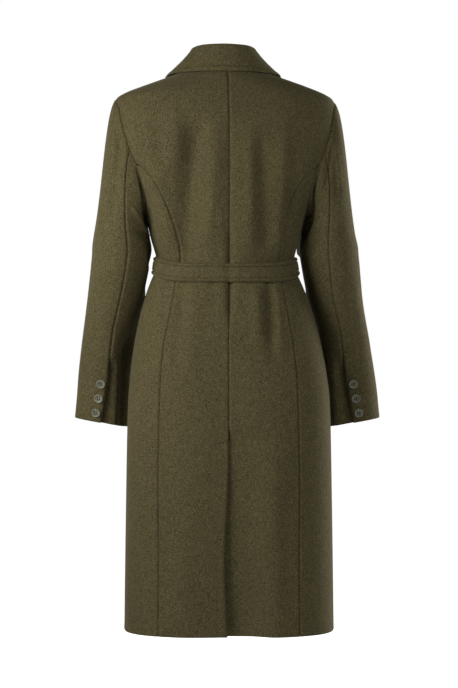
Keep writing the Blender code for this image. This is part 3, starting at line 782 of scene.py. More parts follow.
def princess(height):
    return angle_at(through(PRINCESS, "height", "across", height), height, BACK), height


def side_line(height):
    return np.full(np.shape(height), SIDE_SEAM), height


def lapped_middle(height):
    return angle_at(through(VENT_EDGE, "height", "lean", height), height, BACK), height


def lapping_middle(height):
    under = VENT_UNDERLAP * np.clip((VENT_TOP - height) / VENT_BLEND, 0, 1)
    return angle_at(-under, height, BACK), height


def wrap_edge(height):
    return 2 * FRONT_MIDDLE - angle_at(WRAP, height, FRONT), height


def hung(points):
    """Points in metres, swung and turned about the middle of the coat by their height."""
    height = points[:, 2] / MM + SIDE_NECK
    turn = np.radians(through(HANG, "height", "twist", height))
    sway = through(HANG, "height", "sway", height) * MM
    across = points[:, 0] * np.cos(turn) - points[:, 1] * np.sin(turn) + sway
    back = points[:, 0] * np.sin(turn) + points[:, 1] * np.cos(turn)
    return np.stack([across, back, points[:, 2]], axis=-1)


# Meshes
def hung_mesh(name, points, faces, finish):
    """Mesh of points in millimetres that hangs with the coat."""
    mesh = bpy.data.meshes.new(name)
    mesh.from_pydata(hung(points * MM).tolist(), [], faces)
    shape = bmesh.new()
    shape.from_mesh(mesh)
    bmesh.ops.recalc_face_normals(shape, faces=shape.faces)
    shape.to_mesh(mesh)
    shape.free()
    mesh.materials.append(finish)
    made = bpy.data.objects.new(name, mesh)
    bpy.context.collection.objects.link(made)
    return made


def smooth(mesh):
    mesh.polygons.foreach_set("use_smooth", np.ones(len(mesh.polygons), bool))


def add_mesh(name, points, faces, finish):
    """Smooth piece of the coat."""
    made = hung_mesh(name, points, faces, finish)
    smooth(made.data)
    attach(made, "root")
    return made


def points_and_faces(shape):
    """Points and faces of a bmesh, which is then freed."""
    points = np.array([vertex.co for vertex in shape.verts])
    faces = [[vertex.index for vertex in face.verts] for face in shape.faces]
    shape.free()
    return points, faces


def cells(index):
    corners = [index[:-1, :-1], index[:-1, 1:], index[1:, 1:], index[1:, :-1]]
    return np.stack(corners, axis=-1).reshape(-1, 4).tolist()


def add_shell(node, outer, inner, ring=False):
    """Closed sheet between two grids of points; a ring joins its last row to its first."""
    rows, columns = outer.shape[:2]
    front = np.arange(rows * columns).reshape(rows, columns)
    if ring:
        front = np.concatenate([front, front[:1]])
    behind = front + rows * columns
    rims = [(front[:, 0], behind[:, 0]), (front[:, -1], behind[:, -1])]
    if not ring:
        rims += [(front[0], behind[0]), (front[-1], behind[-1])]
    faces = cells(front) + cells(behind)
    for near, far in rims:
        faces += cells(np.stack([near, far]))
    points = np.concatenate([outer.reshape(-1, 3), inner.reshape(-1, 3)])
    made = add_mesh("cloth_" + node, points, faces, WOOL)
    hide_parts(node)
    return made


def draw_in(grid, gap):
    """The grid with its four edges drawn in by a gap, square to each edge."""
    drawn = grid.copy()
    for turned in (False, True):
        source = np.swapaxes(grid, 0, 1) if turned else grid
        target = np.swapaxes(drawn, 0, 1) if turned else drawn
        for edge_row, inside in ((0, 1), (-1, -2)):
            along = unit(np.gradient(source[edge_row], axis=0))
            inward = source[inside] - source[edge_row]
            inward = inward - along * np.sum(inward * along, axis=-1, keepdims=True)
            target[edge_row] += gap * unit(inward)
    return drawn


def distance_from(points, axis, far_end):
    """Distance of each point of a grid from its first or last line, along the grid."""
    steps = np.linalg.norm(np.diff(points, axis=axis), axis=-1)
    start = np.zeros_like(np.take(steps, [0], axis=axis))
    covered = np.concatenate([start, np.cumsum(steps, axis=axis)], axis=axis)
    return np.take(covered, [-1], axis=axis) - covered if far_end else covered


def edge_fall(points, first_column=None, last_column=None, first_row=None, last_row=None):
    """How deep the outer face falls towards its edges; it swells a little beside them."""
    fall = np.zeros(points.shape[:2])
    across, down = 1, 0
    columns = [(across, False, first_column), (across, True, last_column)]
    rows = [(down, False, first_row), (down, True, last_row)]
    for axis, far_end, kind in columns + rows:
        if kind is None:
            continue
        away = distance_from(points, axis, far_end)
        fall += kind.depth * bell(away, kind.width)
        fall -= kind.puff * bell(away - kind.puff_at, kind.puff_width)
    return fall


def groove(away, inset):
    return STITCH_GROOVE * bell(away - inset, STITCH_GROOVE_WIDTH)


def along_keys(keys, steps):
    """Keys with each step between two neighbours split into equal parts."""
    keys = np.asarray(keys, float)
    parts = [np.linspace(a, b, count, endpoint=False) for a, b, count in zip(keys, keys[1:], steps)]
    return np.concatenate(parts + [keys[-1:]])


def edge(runs, steps):
    """Places along an edge. Each run is a line on the body and its keys; runs share their end rows."""
    angles = []
    heights = []
    start = 0
    for line, keys in runs:
        count = len(keys) - 1
        angle, height = line(along_keys(keys, steps[start:start + count]))
        start += count
        stop = len(angle) if start == len(steps) else -1
        angles.append(angle[:stop])
        heights.append(height[:stop])
    return np.concatenate(angles), np.concatenate(heights)


def row_steps(inner_runs, outer_runs):
    """Number of rows that each step between two keys is split into."""
    plain = np.ones(sum(len(keys) - 1 for line, keys in inner_runs), int)
    lengths = []
    for runs in (inner_runs, outer_runs):
        places = body_plain(*edge(runs, plain))
        lengths.append(np.linalg.norm(np.diff(places, axis=0), axis=-1))
    return np.maximum(1, np.ceil(np.max(lengths, axis=0) / ROW_SPACING)).astype(int)


def rows_on(runs, steps, wanted):
    """Which rows of an edge lie on one of the wanted lines."""
    rows = []
    start = 0
    for line, keys in runs:
        count = len(keys) - 1
        rows += [line in wanted] * int(np.sum(steps[start:start + count]))
        start += count
    return np.array(rows + rows[-1:])


def column_shares(count):
    low = np.array(EDGE_SHARES)
    middle = np.linspace(low[-1], 1 - low[-1], count)
    return np.concatenate([low[:-1], middle, 1 - low[-2::-1]])


def add_panel(node, inner_runs, outer_runs, columns, side, sink=None, gap=SHOWN_GAP):
    """Body panel between two edges; a sink lowers it under the panel that laps over it."""
    steps = row_steps(inner_runs, outer_runs)
    inner_edge = edge(inner_runs, steps)
    outer_edge = edge(outer_runs, steps)
    shares = column_shares(columns)
    angle = side * between(inner_edge[0], outer_edge[0], shares)
    height = between(inner_edge[1], outer_edge[1], shares)
    outer = body(angle, height)
    facing = body_normals(angle, height)
    if sink is not None:
        outer = outer - facing * sink(outer[..., 0], height)[..., None]
    outer = draw_in(outer, gap)
    fall = edge_fall(outer, first_column=SEAM, last_column=SEAM, first_row=TURNED)
    beside_sleeve = edge_fall(outer, first_column=SEAM, last_column=CAP_SEAM, first_row=TURNED)
    fall = np.where(rows_on(outer_runs, steps, (armhole, front_armhole))[:, None], beside_sleeve, fall)
    fall = np.minimum(fall, WALL - SHOWN_WALL)
    made = add_shell(node, outer - facing * fall[..., None], outer - facing * WALL)
    return made


# Back, side back and front
def vent_sink(across, height):
    down = soft_step((VENT_TOP + VENT_BLEND - height) / VENT_BLEND)
    near = soft_step((across - VENT_SINK_NONE) / (VENT_SINK_FULL - VENT_SINK_NONE))
    gape = VENT_GAPE * np.clip(1 - height / VENT_TOP, 0, 1)
    return (VENT_SINK * down + gape) * near


def wrap_sink(across, height):
    return WRAP_SINK * soft_step((WRAP_SINK_NONE - across) / (WRAP_SINK_NONE - WRAP_SINK_FULL))


def add_backs():
    side_heights = column(SIDE_TOPS, "princess_height")
    seam_top = PRINCESS[-1].height
    outer = [(princess, LOW_ROWS + side_heights + [seam_top]),
             (armhole, BACK_TURNS + [0]),
             (side_line, column(BACK_TOPS, "shoulder_height"))]
    hole_heights = armhole(np.array(BACK_TURNS, float))[1].tolist()
    middle_heights = [row.middle_height for row in BACK_TOPS if row.neck_share == 0]
    heights = LOW_ROWS + side_heights + hole_heights + middle_heights
    neck_shares = [0] + [row.neck_share for row in BACK_TOPS if row.neck_share > 0]
    neck = (neckline, neck_shares)
    left_inner = [(lapped_middle, heights), neck]
    right_inner = [(lapping_middle, heights), neck]
    add_panel("back_left", left_inner, outer, BACK_COLUMNS, LEFT, gap=CENTRE_GAP)
    add_panel("back_right", right_inner, outer, BACK_COLUMNS, RIGHT, vent_sink, CENTRE_GAP)


def add_side_backs():
    inner = [(princess, LOW_ROWS + column(SIDE_TOPS, "princess_height"))]
    outer = [(side_line, LOW_ROWS), (armhole, [ARMHOLE_BOTTOM] + column(SIDE_TOPS, "turn"))]
    for name, side in SIDES.items():
        add_panel("side_back_" + name, inner, outer, SIDE_COLUMNS, side)


def add_fronts():
    top_turns = [row.turn for row in FRONT_TOPS if row.turn]
    shoulders = [row.shoulder_height for row in FRONT_TOPS if row.shoulder_height]
    outer = [(side_line, LOW_ROWS),
             (front_armhole, [ARMHOLE_BOTTOM] + FRONT_TURNS + top_turns),
             (side_line, [ARMHOLE[-1].height] + shoulders)]
    shares = column(FRONT_TOPS, "neck_share")
    corner = front_neckline(np.array(shares[:1]))[1].tolist()
    hole_heights = armhole(np.array(FRONT_TURNS, float))[1].tolist()
    inner = [(wrap_edge, LOW_ROWS + hole_heights + corner), (front_neckline, shares)]
    add_panel("front_left", inner, outer, FRONT_COLUMNS, LEFT, wrap_sink)
    add_panel("front_right", inner, outer, FRONT_COLUMNS, RIGHT)


# Sleeves
def sleeve_ring(turn, height):
    angle = np.radians(turn)
    out = through(SLEEVE, "height", "out", height)
    back = through(SLEEVE, "height", "back", height)
    half_out = through(SLEEVE, "height", "half_out", height)
    half_depth = through(SLEEVE, "height", "half_depth", height)
    tilt = through(SLEEVE, "height", "slant", height) / 2
    return np.stack([out + half_out * np.cos(angle), back + half_depth * np.sin(angle),
                     height + tilt * np.cos(angle) - SIDE_NECK], axis=-1)


def cap_start(turn):
    turn = np.mod(turn, FULL_TURN)
    columns = [through(CAP_STARTS, "turn", name, turn) for name in ("out", "back", "up")]
    return np.stack(columns, axis=-1)


def sleeve_plain(turn, run):
    """Left sleeve: run 0 is the armhole, 1 the first full ring, 2 the cuff."""
    turn, run = np.broadcast_arrays(np.asarray(turn, float), np.asarray(run, float))
    low = sleeve_ring(turn, CAP_END - np.maximum(run - 1, 0) * (CAP_END - CUFF))
    start = body_main(*armhole(turn))
    end = sleeve_ring(turn, np.full(turn.shape, CAP_END))
    below = sleeve_ring(turn, np.full(turn.shape, CAP_END - CAP_SLOPE_STEP))
    slope = (below - end) / CAP_SLOPE_STEP
    length = np.linalg.norm(end - start, axis=-1, keepdims=True)
    cap = hermite(run[..., None], start, cap_start(turn), end, slope * length)
    return np.where((run < 1)[..., None], cap, low)


def sleeve_rise(side, turn, run):
    rise = np.zeros(np.shape(turn))
    for fold in SLEEVE_FOLDS[side]:
        length = fold.bottom_run - fold.top_run
        share = (run - fold.top_run) / length
        lean = fold.bottom_turn - fold.top_turn
        middle = fold.top_turn + share * lean
        away = np.mod(turn - middle + FULL_TURN / 2, FULL_TURN) - FULL_TURN / 2
        spread = fold.half_width * np.hypot(1, lean / (length * (CAP_END - CUFF)))
        rise = rise + fold.rise * bell(away, spread) * fold_ends(share)
    return rise


def creased_sleeve(side):
    def surface(turn, run):
        turn, run = np.broadcast_arrays(np.asarray(turn, float), np.asarray(run, float))
        facing = normals(sleeve_plain, turn, run, RUN_STEP)
        return sleeve_plain(turn, run) + facing * sleeve_rise(side, turn, run)[..., None]
    return surface


def cap_clearance(turn):
    """Step from the armhole edge to the sleeve's first row that keeps the two walls apart."""
    angle, height = armhole(turn)
    edge_points = body_main(angle, height)
    facing = normals(body_main, angle, height, HEIGHT_STEP)
    along = body_main(*armhole(turn + TURN_STEP)) - body_main(*armhole(turn - TURN_STEP))
    round_turns = np.linspace(0, FULL_TURN, ARMHOLE_SAMPLES, endpoint=False)
    middle = np.mean(body_main(*armhole(round_turns)), axis=0)
    across = beside(along, facing, middle - edge_points)
    leaving = np.clip(np.sum(unit(cap_start(turn)) * across, axis=-1, keepdims=True), 0, 1)
    turned = normals(sleeve_plain, turn, np.zeros(np.shape(turn)), RUN_STEP)
    turned = np.clip(np.sum(turned * across, axis=-1, keepdims=True), 0, 1)
    return HEAD_GAP * (leaving * across + (1 - leaving) * facing) + HEAD_WALL * turned * across


def sided_sleeve(points, side):
    """Left sleeve points on either side; both sleeves swing the same way."""
    swing = through(SLEEVE, "height", "swing", points[..., 2] + SIDE_NECK)
    return np.stack([side * points[..., 0] + swing, points[..., 1], points[..., 2]], axis=-1)


def add_sleeve_piece(node, edge_names, columns, side, upper):
    """Upper or under sleeve between two seams, from the armhole to the cuff."""
    cuff_rows = 2 - np.array(HEM_ROWS[::-1]) / (CAP_END - CUFF)
    long_rows = np.linspace(CAP_RUNS[-1], cuff_rows[0], SLEEVE_ROWS)[1:-1]
    runs = np.concatenate([CAP_RUNS, long_rows, cuff_rows])
    first = through(SLEEVE_SEAMS, "run", edge_names[0], runs)
    last = through(SLEEVE_SEAMS, "run", edge_names[1], runs)
    if upper:
        first = first - FULL_TURN
    turn = between(first, last, column_shares(columns))
    run = np.repeat(runs[:, None], turn.shape[1], axis=1)
    surface = creased_sleeve(side)
    outer = surface(turn, run)
    facing = normals(surface, turn, run, RUN_STEP)
    if not upper:
        depth = through(SLEEVE_SEAMS, "run", "sink", run)
        near = soft_step((SLEEVE_SINK_NONE - turn) / (SLEEVE_SINK_NONE - SLEEVE_SINK_FULL))
        outer = outer - facing * (depth * near * (1 + CUFF_GAPE))[..., None]
    settled = np.clip(1 - run / CAP_SETTLED, 0, 1)
    outer = outer + cap_clearance(turn[0])[None] * settled[..., None]
    outer[:, [0, -1]] = draw_in(outer, SHOWN_GAP)[:, [0, -1]]
    wall = WALL - (WALL - HEAD_WALL) * settled
    fall = edge_fall(outer, first_column=SEAM, last_column=SEAM, first_row=CAP_SEAM, last_row=TURNED)
    fall = np.minimum(fall, wall - SHOWN_WALL)
    shown = sided_sleeve(outer - facing * fall[..., None], side)
    made = add_shell(node, shown, sided_sleeve(outer - facing * wall[..., None], side))


def add_sleeves():
    for name, side in SIDES.items():
        add_sleeve_piece("sleeve_upper_" + name, ("front", "upper_edge"), UPPER_COLUMNS, side, True)
        add_sleeve_piece("sleeve_under_" + name, ("under_edge", "front"), UNDER_COLUMNS, side, False)


# Stitches
def stitch_frames(path, facing, closed):
    """Middle, direction and facing of each stitch along a path."""
    if closed:
        path = np.concatenate([path, path[:1]])
        facing = np.concatenate([facing, facing[:1]])
    covered = np.concatenate([[0], np.cumsum(np.linalg.norm(np.diff(path, axis=0), axis=-1))])
    count = int(covered[-1] / (STITCH_LENGTH + STITCH_GAP))
    places = (np.arange(count) + 0.5) * covered[-1] / count

    def at(values, distance):
        return np.stack([np.interp(distance, covered, values[:, axis]) for axis in range(3)], axis=-1)

    along = unit(at(path, places + STITCH_LENGTH / 2) - at(path, places - STITCH_LENGTH / 2))
    return at(path, places), along, unit(at(facing, places))


def add_stitches(name, frames, length=STITCH_LENGTH, radius=STITCH_RADIUS):
    """Rows of thread, one small tapered body for each stitch."""
    middle, along, facing = (np.concatenate(parts) for parts in zip(*frames))
    across = np.cross(along, facing)
    turns = np.linspace(0, 2 * np.pi, STITCH_SIDES, endpoint=False)
    rings = []
    for ring in STITCH_RINGS:
        centre = middle + along * ring.place * length - facing * ring.sink * radius
        sideways = across[:, None] * np.cos(turns)[None, :, None]
        sweep = sideways + facing[:, None] * np.sin(turns)[None, :, None]
        rings.append(centre[:, None] + sweep * ring.radius * radius)
    points = np.stack(rings, axis=1)
    index = np.arange(points[..., 0].size).reshape(points.shape[:3])
    faces = []
    for stitch in index:
        faces += cells(np.concatenate([stitch, stitch[:, :1]], axis=1))
        faces += [stitch[0].tolist(), stitch[-1].tolist()]
    made = add_mesh(name, points.reshape(-1, 3), faces, THREAD)
    return made


def line_at(points, facing, away, inset):
    """Path on a grid that keeps an inset from the edge its distances count from."""
    path = []
    upward = []
    for row, normal, distance in zip(points, facing, away):
        order = np.argsort(distance)
        path.append([np.interp(inset, distance[order], row[order, axis]) for axis in range(3)])
        upward.append([np.interp(inset, distance[order], normal[order, axis]) for axis in range(3)])
    return np.array(path), unit(np.array(upward))


# Collar
def collar_half():
    """Left half of the collar from its foot over the fold to its rim, and the way its foot faces."""
    shares = np.linspace(0, COLLAR[-1].share, COLLAR_STATIONS)
    angle, height = neckline(shares)
    foot = body(angle, height)
    facing = body_normals(angle, height)
    along = body(*neckline(shares + NECK_STEP)) - body(*neckline(shares - NECK_STEP))
    out = unit(facing * np.array([1, 1, 0]))
    up = np.array([0, 0, 1.0])
    stand = through(COLLAR, "share", "stand", shares)[:, None]
    lean = through(COLLAR, "share", "lean", shares)[:, None]
    edge_angle, edge_height = seam_places(COLLAR, "share", "edge_across", "edge_height", shares)
    rim = body(edge_angle, edge_height) + COLLAR_CLEAR * body_normals(edge_angle, edge_height)
    foot = foot + SEAM_GAP * beside(along, facing, -foot)
    top = foot + up * stand + out * lean
    columns = [foot + (top - foot) * share for share in np.linspace(0, 1, STAND_COLUMNS, endpoint=False)]
    for turn in np.linspace(0, np.pi, ROLL_COLUMNS):
        columns.append(top + COLLAR_FOLD_RADIUS * (out * (1 - np.cos(turn)) + up * np.sin(turn)))
    start = columns[-1]
    control = (start + rim) / 2 + out * COLLAR_BULGE
    for share in np.concatenate([np.linspace(0, FALL_EVEN, FALL_COLUMNS)[1:], FALL_EDGE]):
        columns.append((1 - share) ** 2 * start + 2 * share * (1 - share) * control + share ** 2 * rim)
    return np.stack(columns, axis=1), facing


def add_collar():
    half, facing = collar_half()
    mirror = np.array([-1, 1, 1])
    grid = np.concatenate([half[:0:-1] * mirror, half])
    foot_facing = np.concatenate([facing[:0:-1] * mirror, facing])
    wall = unit(np.cross(np.gradient(grid, axis=1), np.gradient(grid, axis=0)))
    wall = wall * np.sign(np.sum(wall[:, :1] * foot_facing[:, None], axis=-1, keepdims=True))
    wall[:, 0] = foot_facing
    away = distance_from(grid, 1, True)
    fall = edge_fall(grid, last_column=TURNED, first_row=TURNED, last_row=TURNED)
    fall += groove(away, COLLAR_STITCH_INSET)
    fall -= COLLAR_LIP * bell(away - COLLAR_LIP_AT, COLLAR_LIP_AT)
    shown = grid - wall * (COLLAR_WALL - fall)[..., None]
    made = add_shell("collar", shown, grid)
    path, upward = line_at(shown, -wall, away, COLLAR_STITCH_INSET)
    sewn = slice(COLLAR_UNSEWN_ROWS, -COLLAR_UNSEWN_ROWS)
    stitches = add_stitches("collar_stitching", [stitch_frames(path[sewn], upward[sewn], False)])


# Belt
def belt_height(angle):
    return BELT_SIDE_HEIGHT - BELT_BACK_DIP * soft_step(np.cos(np.radians(angle)))


def strip_fall(outer):
    """Rounded edges, a groove for the stitching along both, and a soft swell between them."""
    fall = edge_fall(outer, first_column=BELT_EDGE, last_column=BELT_EDGE)
    for far_end in (False, True):
        fall += groove(distance_from(outer, 1, far_end), BELT_STITCH_INSET)
    return fall


def strip_stitches(shown, facing, closed):
    frames = []
    for far_end in (False, True):
        path, upward = line_at(shown, facing, distance_from(shown, 1, far_end), BELT_STITCH_INSET)
        frames.append(stitch_frames(path, upward, closed))
    return frames


def add_belt_band():
    angles = np.linspace(0, FULL_TURN, BELT_STATIONS, endpoint=False)
    edges = [belt_height(angles) - BELT_HALF_WIDTH, belt_height(angles) + BELT_HALF_WIDTH]
    low, high = [body_main(angles, height) for height in edges]
    low_facing, high_facing = [normals(body_main, angles, height, HEIGHT_STEP) for height in edges]
    shares = column_shares(BELT_COLUMNS)[None, :, None]
    facing = unit(low_facing[:, None] * (1 - shares) + high_facing[:, None] * shares)
    inner_low = low + low_facing * BELT_CLEAR
    inner_high = high + high_facing * BELT_CLEAR
    inner = inner_low[:, None] * (1 - shares) + inner_high[:, None] * shares
    outer = inner + facing * BELT_WALL
    join = bell(outer[..., 0] - BELT_JOIN_ACROSS, BELT_JOIN_WIDTH) * (outer[..., 1] > 0)
    fall = strip_fall(outer) + STITCH_GROOVE * join
    shown = outer - facing * fall[..., None]
    made = add_shell("belt_band", shown, inner, ring=True)
    return made, add_stitches("belt_stitching", strip_stitches(shown, facing, True))


def add_belt_knot():
    shape = bmesh.new()
    bmesh.ops.create_uvsphere(shape, u_segments=KNOT_SEGMENTS, v_segments=KNOT_RINGS, radius=1)
    edges = BELT_SIDE_HEIGHT + np.array([-BELT_HALF_WIDTH, BELT_HALF_WIDTH])
    front = np.min(body_main(FRONT_MIDDLE, edges)[:, 1])
    reach = BELT_CLEAR + BELT_WALL + SEAM_GAP + KNOT_SIZE[1]
    middle = np.array([0, front - reach, BELT_SIDE_HEIGHT - SIDE_NECK])
    ball, faces = points_and_faces(shape)
    square = signed_power(ball, KNOT_SQUARENESS) * np.array(KNOT_SIZE)
    slope = square[:, 2] + KNOT_LEAN * square[:, 0]
    for wrap in KNOT_WRAPS:
        depth = KNOT_GROOVE * bell(slope - wrap, KNOT_GROOVE_WIDTH)
        square = square - unit(ball) * depth[:, None]
    made = add_mesh("cloth_belt_knot", middle + square, faces, WOOL)
    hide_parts("belt_knot")
    return made


def add_belt_ends():
    for name, side in SIDES.items():
        node = "belt_end_" + name
        tip = 1 - END_TIP + END_TIP * np.array(TIP_ROWS)
        shares = np.concatenate([np.linspace(0, 1 - END_TIP, END_STATIONS), tip])
        heights = END_TOP - END_LENGTHS[name] * shares
        middle = through(END_SHAPE, "share", "across", shares)
        half = through(END_SHAPE, "share", "half_width", shares)
        across = between(middle - half, middle + half, column_shares(BELT_COLUMNS))
        height = np.repeat(heights[:, None], across.shape[1], axis=1)
        angle = angle_at(side * across, height, FRONT)
        face = body(angle, height)
        facing = body_normals(angle, height)
        outer = face + facing * (END_CLEAR + END_WALL)
        fall = strip_fall(outer) + edge_fall(outer, last_row=BELT_EDGE)
        fall = np.minimum(fall, END_WALL - SHOWN_WALL)
        shown = outer - facing * fall[..., None]
        made = add_shell(node, shown, face + facing * END_CLEAR)
        stitches = add_stitches(node + "_stitching", strip_stitches(shown, facing, False))


def add_belt():
    band, stitches = add_belt_band()
    knot = add_belt_knot()
    add_belt_ends()


# Bar tack at the top of the vent
def add_tack():
    shares = (np.arange(TACK_STITCHES) + 0.5) / TACK_STITCHES
    across = TACK_START[0] + shares * (TACK_END[0] - TACK_START[0])
    height = TACK_START[1] + shares * (TACK_END[1] - TACK_START[1])
    angle = angle_at(across, height, BACK)
    facing = body_normals(angle, height)
    end_heights = height[[0, -1]]
    ends = body(angle_at(np.array([TACK_START[0], TACK_END[0]]), end_heights, BACK), end_heights)
    along = np.repeat(unit(ends[1:] - ends[:1]), TACK_STITCHES, axis=0)
    length = np.linalg.norm(ends[1] - ends[0]) / TACK_STITCHES * TACK_OVERLAP
    middle = body(angle, height) + facing * TACK_RADIUS / 2
    add_stitches("vent_tack", [(middle, along, facing)], length, TACK_RADIUS)


# Cuff buttons
def moved(points, place):
    return np.array([place @ Vector(point) for point in points])


def button_disc():
    """Points and faces of a turned disc with a raised rim and a dished middle."""
    steps = np.linspace(0, len(BUTTON_PROFILE) - 1, BUTTON_STEPS)
    knots = np.arange(len(BUTTON_PROFILE))
    radius = cubic(knots, column(BUTTON_PROFILE, "radius"), steps)
    rise = cubic(knots, column(BUTTON_PROFILE, "rise"), steps)
    turns = np.linspace(0, 2 * np.pi, BUTTON_SEGMENTS, endpoint=False)
    ring = np.stack([np.cos(turns), np.sin(turns), np.zeros(BUTTON_SEGMENTS)], axis=-1)
    points = ring[None] * radius[:, None, None] + np.array([0, 0, 1.0]) * rise[:, None, None]
    index = np.arange(BUTTON_STEPS * BUTTON_SEGMENTS).reshape(BUTTON_STEPS, BUTTON_SEGMENTS)
    faces = cells(np.concatenate([index, index[:, :1]], axis=1))
    faces += [index[0].tolist(), index[-1].tolist()]
    return points.reshape(-1, 3), faces


def button_holes():
    """Points and faces of the four rods that cut the holes."""
    shape = bmesh.new()
    for x in (-1, 1):
        for y in (-1, 1):
            at = Matrix.Translation((x * BUTTON_HOLE_SPREAD, y * BUTTON_HOLE_SPREAD, 0))
            bmesh.ops.create_cone(shape, cap_ends=True, segments=BUTTON_HOLE_SIDES,
                                  radius1=BUTTON_HOLE_RADIUS, radius2=BUTTON_HOLE_RADIUS,
                                  depth=BUTTON_CUTTER_LENGTH, matrix=at)
    return points_and_faces(shape)


def button_mesh(name, place):
    points, faces = button_disc()
    disc = hung_mesh(name, moved(points, place), faces, BUTTON)
    points, faces = button_holes()
    cutter = hung_mesh(name + "_holes", moved(points, place), faces, BUTTON)
    cut = disc.modifiers.new("holes", "BOOLEAN")
    cut.solver = "EXACT"
    cut.object = cutter
    seen = disc.evaluated_get(bpy.context.evaluated_depsgraph_get())
    mesh = bpy.data.meshes.new_from_object(seen)
    disc.modifiers.clear()
    disc.data = mesh
    bpy.data.objects.remove(cutter, do_unlink=True)
    smooth(mesh)
    mesh.set_sharp_from_angle(angle=np.radians(BUTTON_SHARP))
    return disc


def add_buttons():
    frames = []
    for name, side in SIDES.items():
        for number, height in enumerate(BUTTON_HEIGHTS, 1):
            run = 1 + (CAP_END - height) / (CAP_END - CUFF)
            turn = through(SLEEVE_SEAMS, "run", "upper_edge", run) - BUTTON_INSET
            facing = Vector(normals(sleeve_plain, turn, run, RUN_STEP) * np.array([side, 1, 1]))
            seat = Vector(sided_sleeve(sleeve_plain(turn, run), side)) + facing * SEAM_GAP
            place = Matrix.Translation(seat) @ facing.to_track_quat("Z", "Y").to_matrix().to_4x4()
            node = "cuff_button_" + name + "_" + str(number)
            made = button_mesh("button_" + name + "_" + str(number), place)
            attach(made, "root")
            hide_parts(node)
            for offset in (-BUTTON_HOLE_SPREAD, BUTTON_HOLE_SPREAD):
                middle = place @ Vector((offset, 0, BUTTON_PROFILE[-1].rise))
                along = place.to_3x3() @ Vector((0, 1, 0))
                frames.append((np.array([middle]), np.array([along]), np.array([facing])))
    add_stitches("button_thread", frames, BUTTON_THREAD_LENGTH, BUTTON_THREAD_RADIUS)


# Materials
def plug(tree, node, values):
    """Sets a node's inputs by name or number: a socket is linked in, any other value is written in."""
    for name, value in values.items():
        if isinstance(value, bpy.types.NodeSocket):
            tree.links.new(value, node.inputs[name])
        else:
            node.inputs[name].default_value = value
    return node.outputs


def new_material(name):
    made = bpy.data.materials.new(name)
    made.use_nodes = True
    return made, made.node_tree, made.node_tree.nodes["Principled BSDF"]


def add_noise(tree, place, noise):
    return plug(tree, tree.nodes.new("ShaderNodeTexNoise"), {
        "Vector": place,
        "Scale": noise.scale,
        "Detail": noise.detail,
        "Roughness": noise.roughness,
    })["Fac"]


def add_ramp(tree, factor, stops):
    ramp = tree.nodes.new("ShaderNodeValToRGB")
    elements = ramp.color_ramp.elements
    for stop in stops[1:-1]:
        elements.new(stop.position)
    for element, stop in zip(elements, stops):
        element.position = stop.position
        element.color = (stop.red, stop.green, stop.blue, 1)
    return plug(tree, ramp, {"Fac": factor})["Color"]


def multiply(tree, first, second):
    mix = tree.nodes.new("ShaderNodeMix")
    mix.data_type = "RGBA"
    mix.blend_type = "MULTIPLY"
    return plug(tree, mix, {"Factor": 1.0, "A": first, "B": second})["Result"]


def add_bump(tree, height, bump, below=None):
    values = {"Height": height, "Strength": bump.strength, "Distance": bump.height}
    if below is not None:
        values["Normal"] = below
    return plug(tree, tree.nodes.new("ShaderNodeBump"), values)["Normal"]


def object_place(tree):
    return tree.nodes.new("ShaderNodeTexCoord").outputs["Object"]


def wool_material():
    made, tree, shader = new_material("wool")
    stretch = tree.nodes.new("ShaderNodeMapping")
    place = plug(tree, stretch, {"Vector": object_place(tree), "Scale": (1, 1, GRAIN_STRETCH)})["Vector"]
    fibres = add_noise(tree, place, FIBRE_NOISE)
    colour = add_ramp(tree, fibres, HEATHER)
    for noise, stops in ((MOTTLE_NOISE, MOTTLE), (WEAR_NOISE, WEAR)):
        colour = multiply(tree, colour, add_ramp(tree, add_noise(tree, place, noise), stops))
    felt = add_bump(tree, add_noise(tree, place, FELT_NOISE), FELT_BUMP)
    plug(tree, shader, {
        "Base Color": colour,
        "Normal": add_bump(tree, fibres, NAP_BUMP, felt),
        "Roughness": WOOL_GLOSS.roughness,
        "Specular IOR Level": WOOL_GLOSS.specular,
        "Sheen Weight": SHEEN_WEIGHT,
        "Sheen Roughness": SHEEN_ROUGHNESS,
        "Sheen Tint": SHEEN_TINT,
    })
    return made


def noisy_material(name, gloss, noise, stops, bump):
    """Material whose tone and bump follow one noise."""
    made, tree, shader = new_material(name)
    tone = add_noise(tree, object_place(tree), noise)
    plug(tree, shader, {
        "Base Color": add_ramp(tree, tone, stops),
        "Normal": add_bump(tree, tone, bump),
        "Roughness": gloss.roughness,
        "Specular IOR Level": gloss.specular,
    })
    return made


# Camera, light and floor
def add_looking(name, data, aim, toward, distance):
    """Camera or lamp that stands off from its aim and looks at it."""
    made = bpy.data.objects.new(name, data)
    made.location = aim + toward * distance
    made.rotation_euler = Vector(-toward).to_track_quat("-Z", "Y").to_euler()
    bpy.context.collection.objects.link(made)
    return made


def add_camera():
    turn = np.radians(CAMERA_AZIMUTH)
    toward = np.array([np.sin(turn), -np.cos(turn), 0])
    right = np.array([np.cos(turn), np.sin(turn), 0])
    aim = np.array([0, 0, CAMERA_HEIGHT - SIDE_NECK]) * MM + right * CAMERA_ASIDE * MM
    data = bpy.data.cameras.new("camera")
    data.sensor_width = SENSOR
    data.lens = SENSOR * CAMERA_DISTANCE / VIEW_HEIGHT
    bpy.context.scene.camera = add_looking("camera", data, aim, toward, CAMERA_DISTANCE)


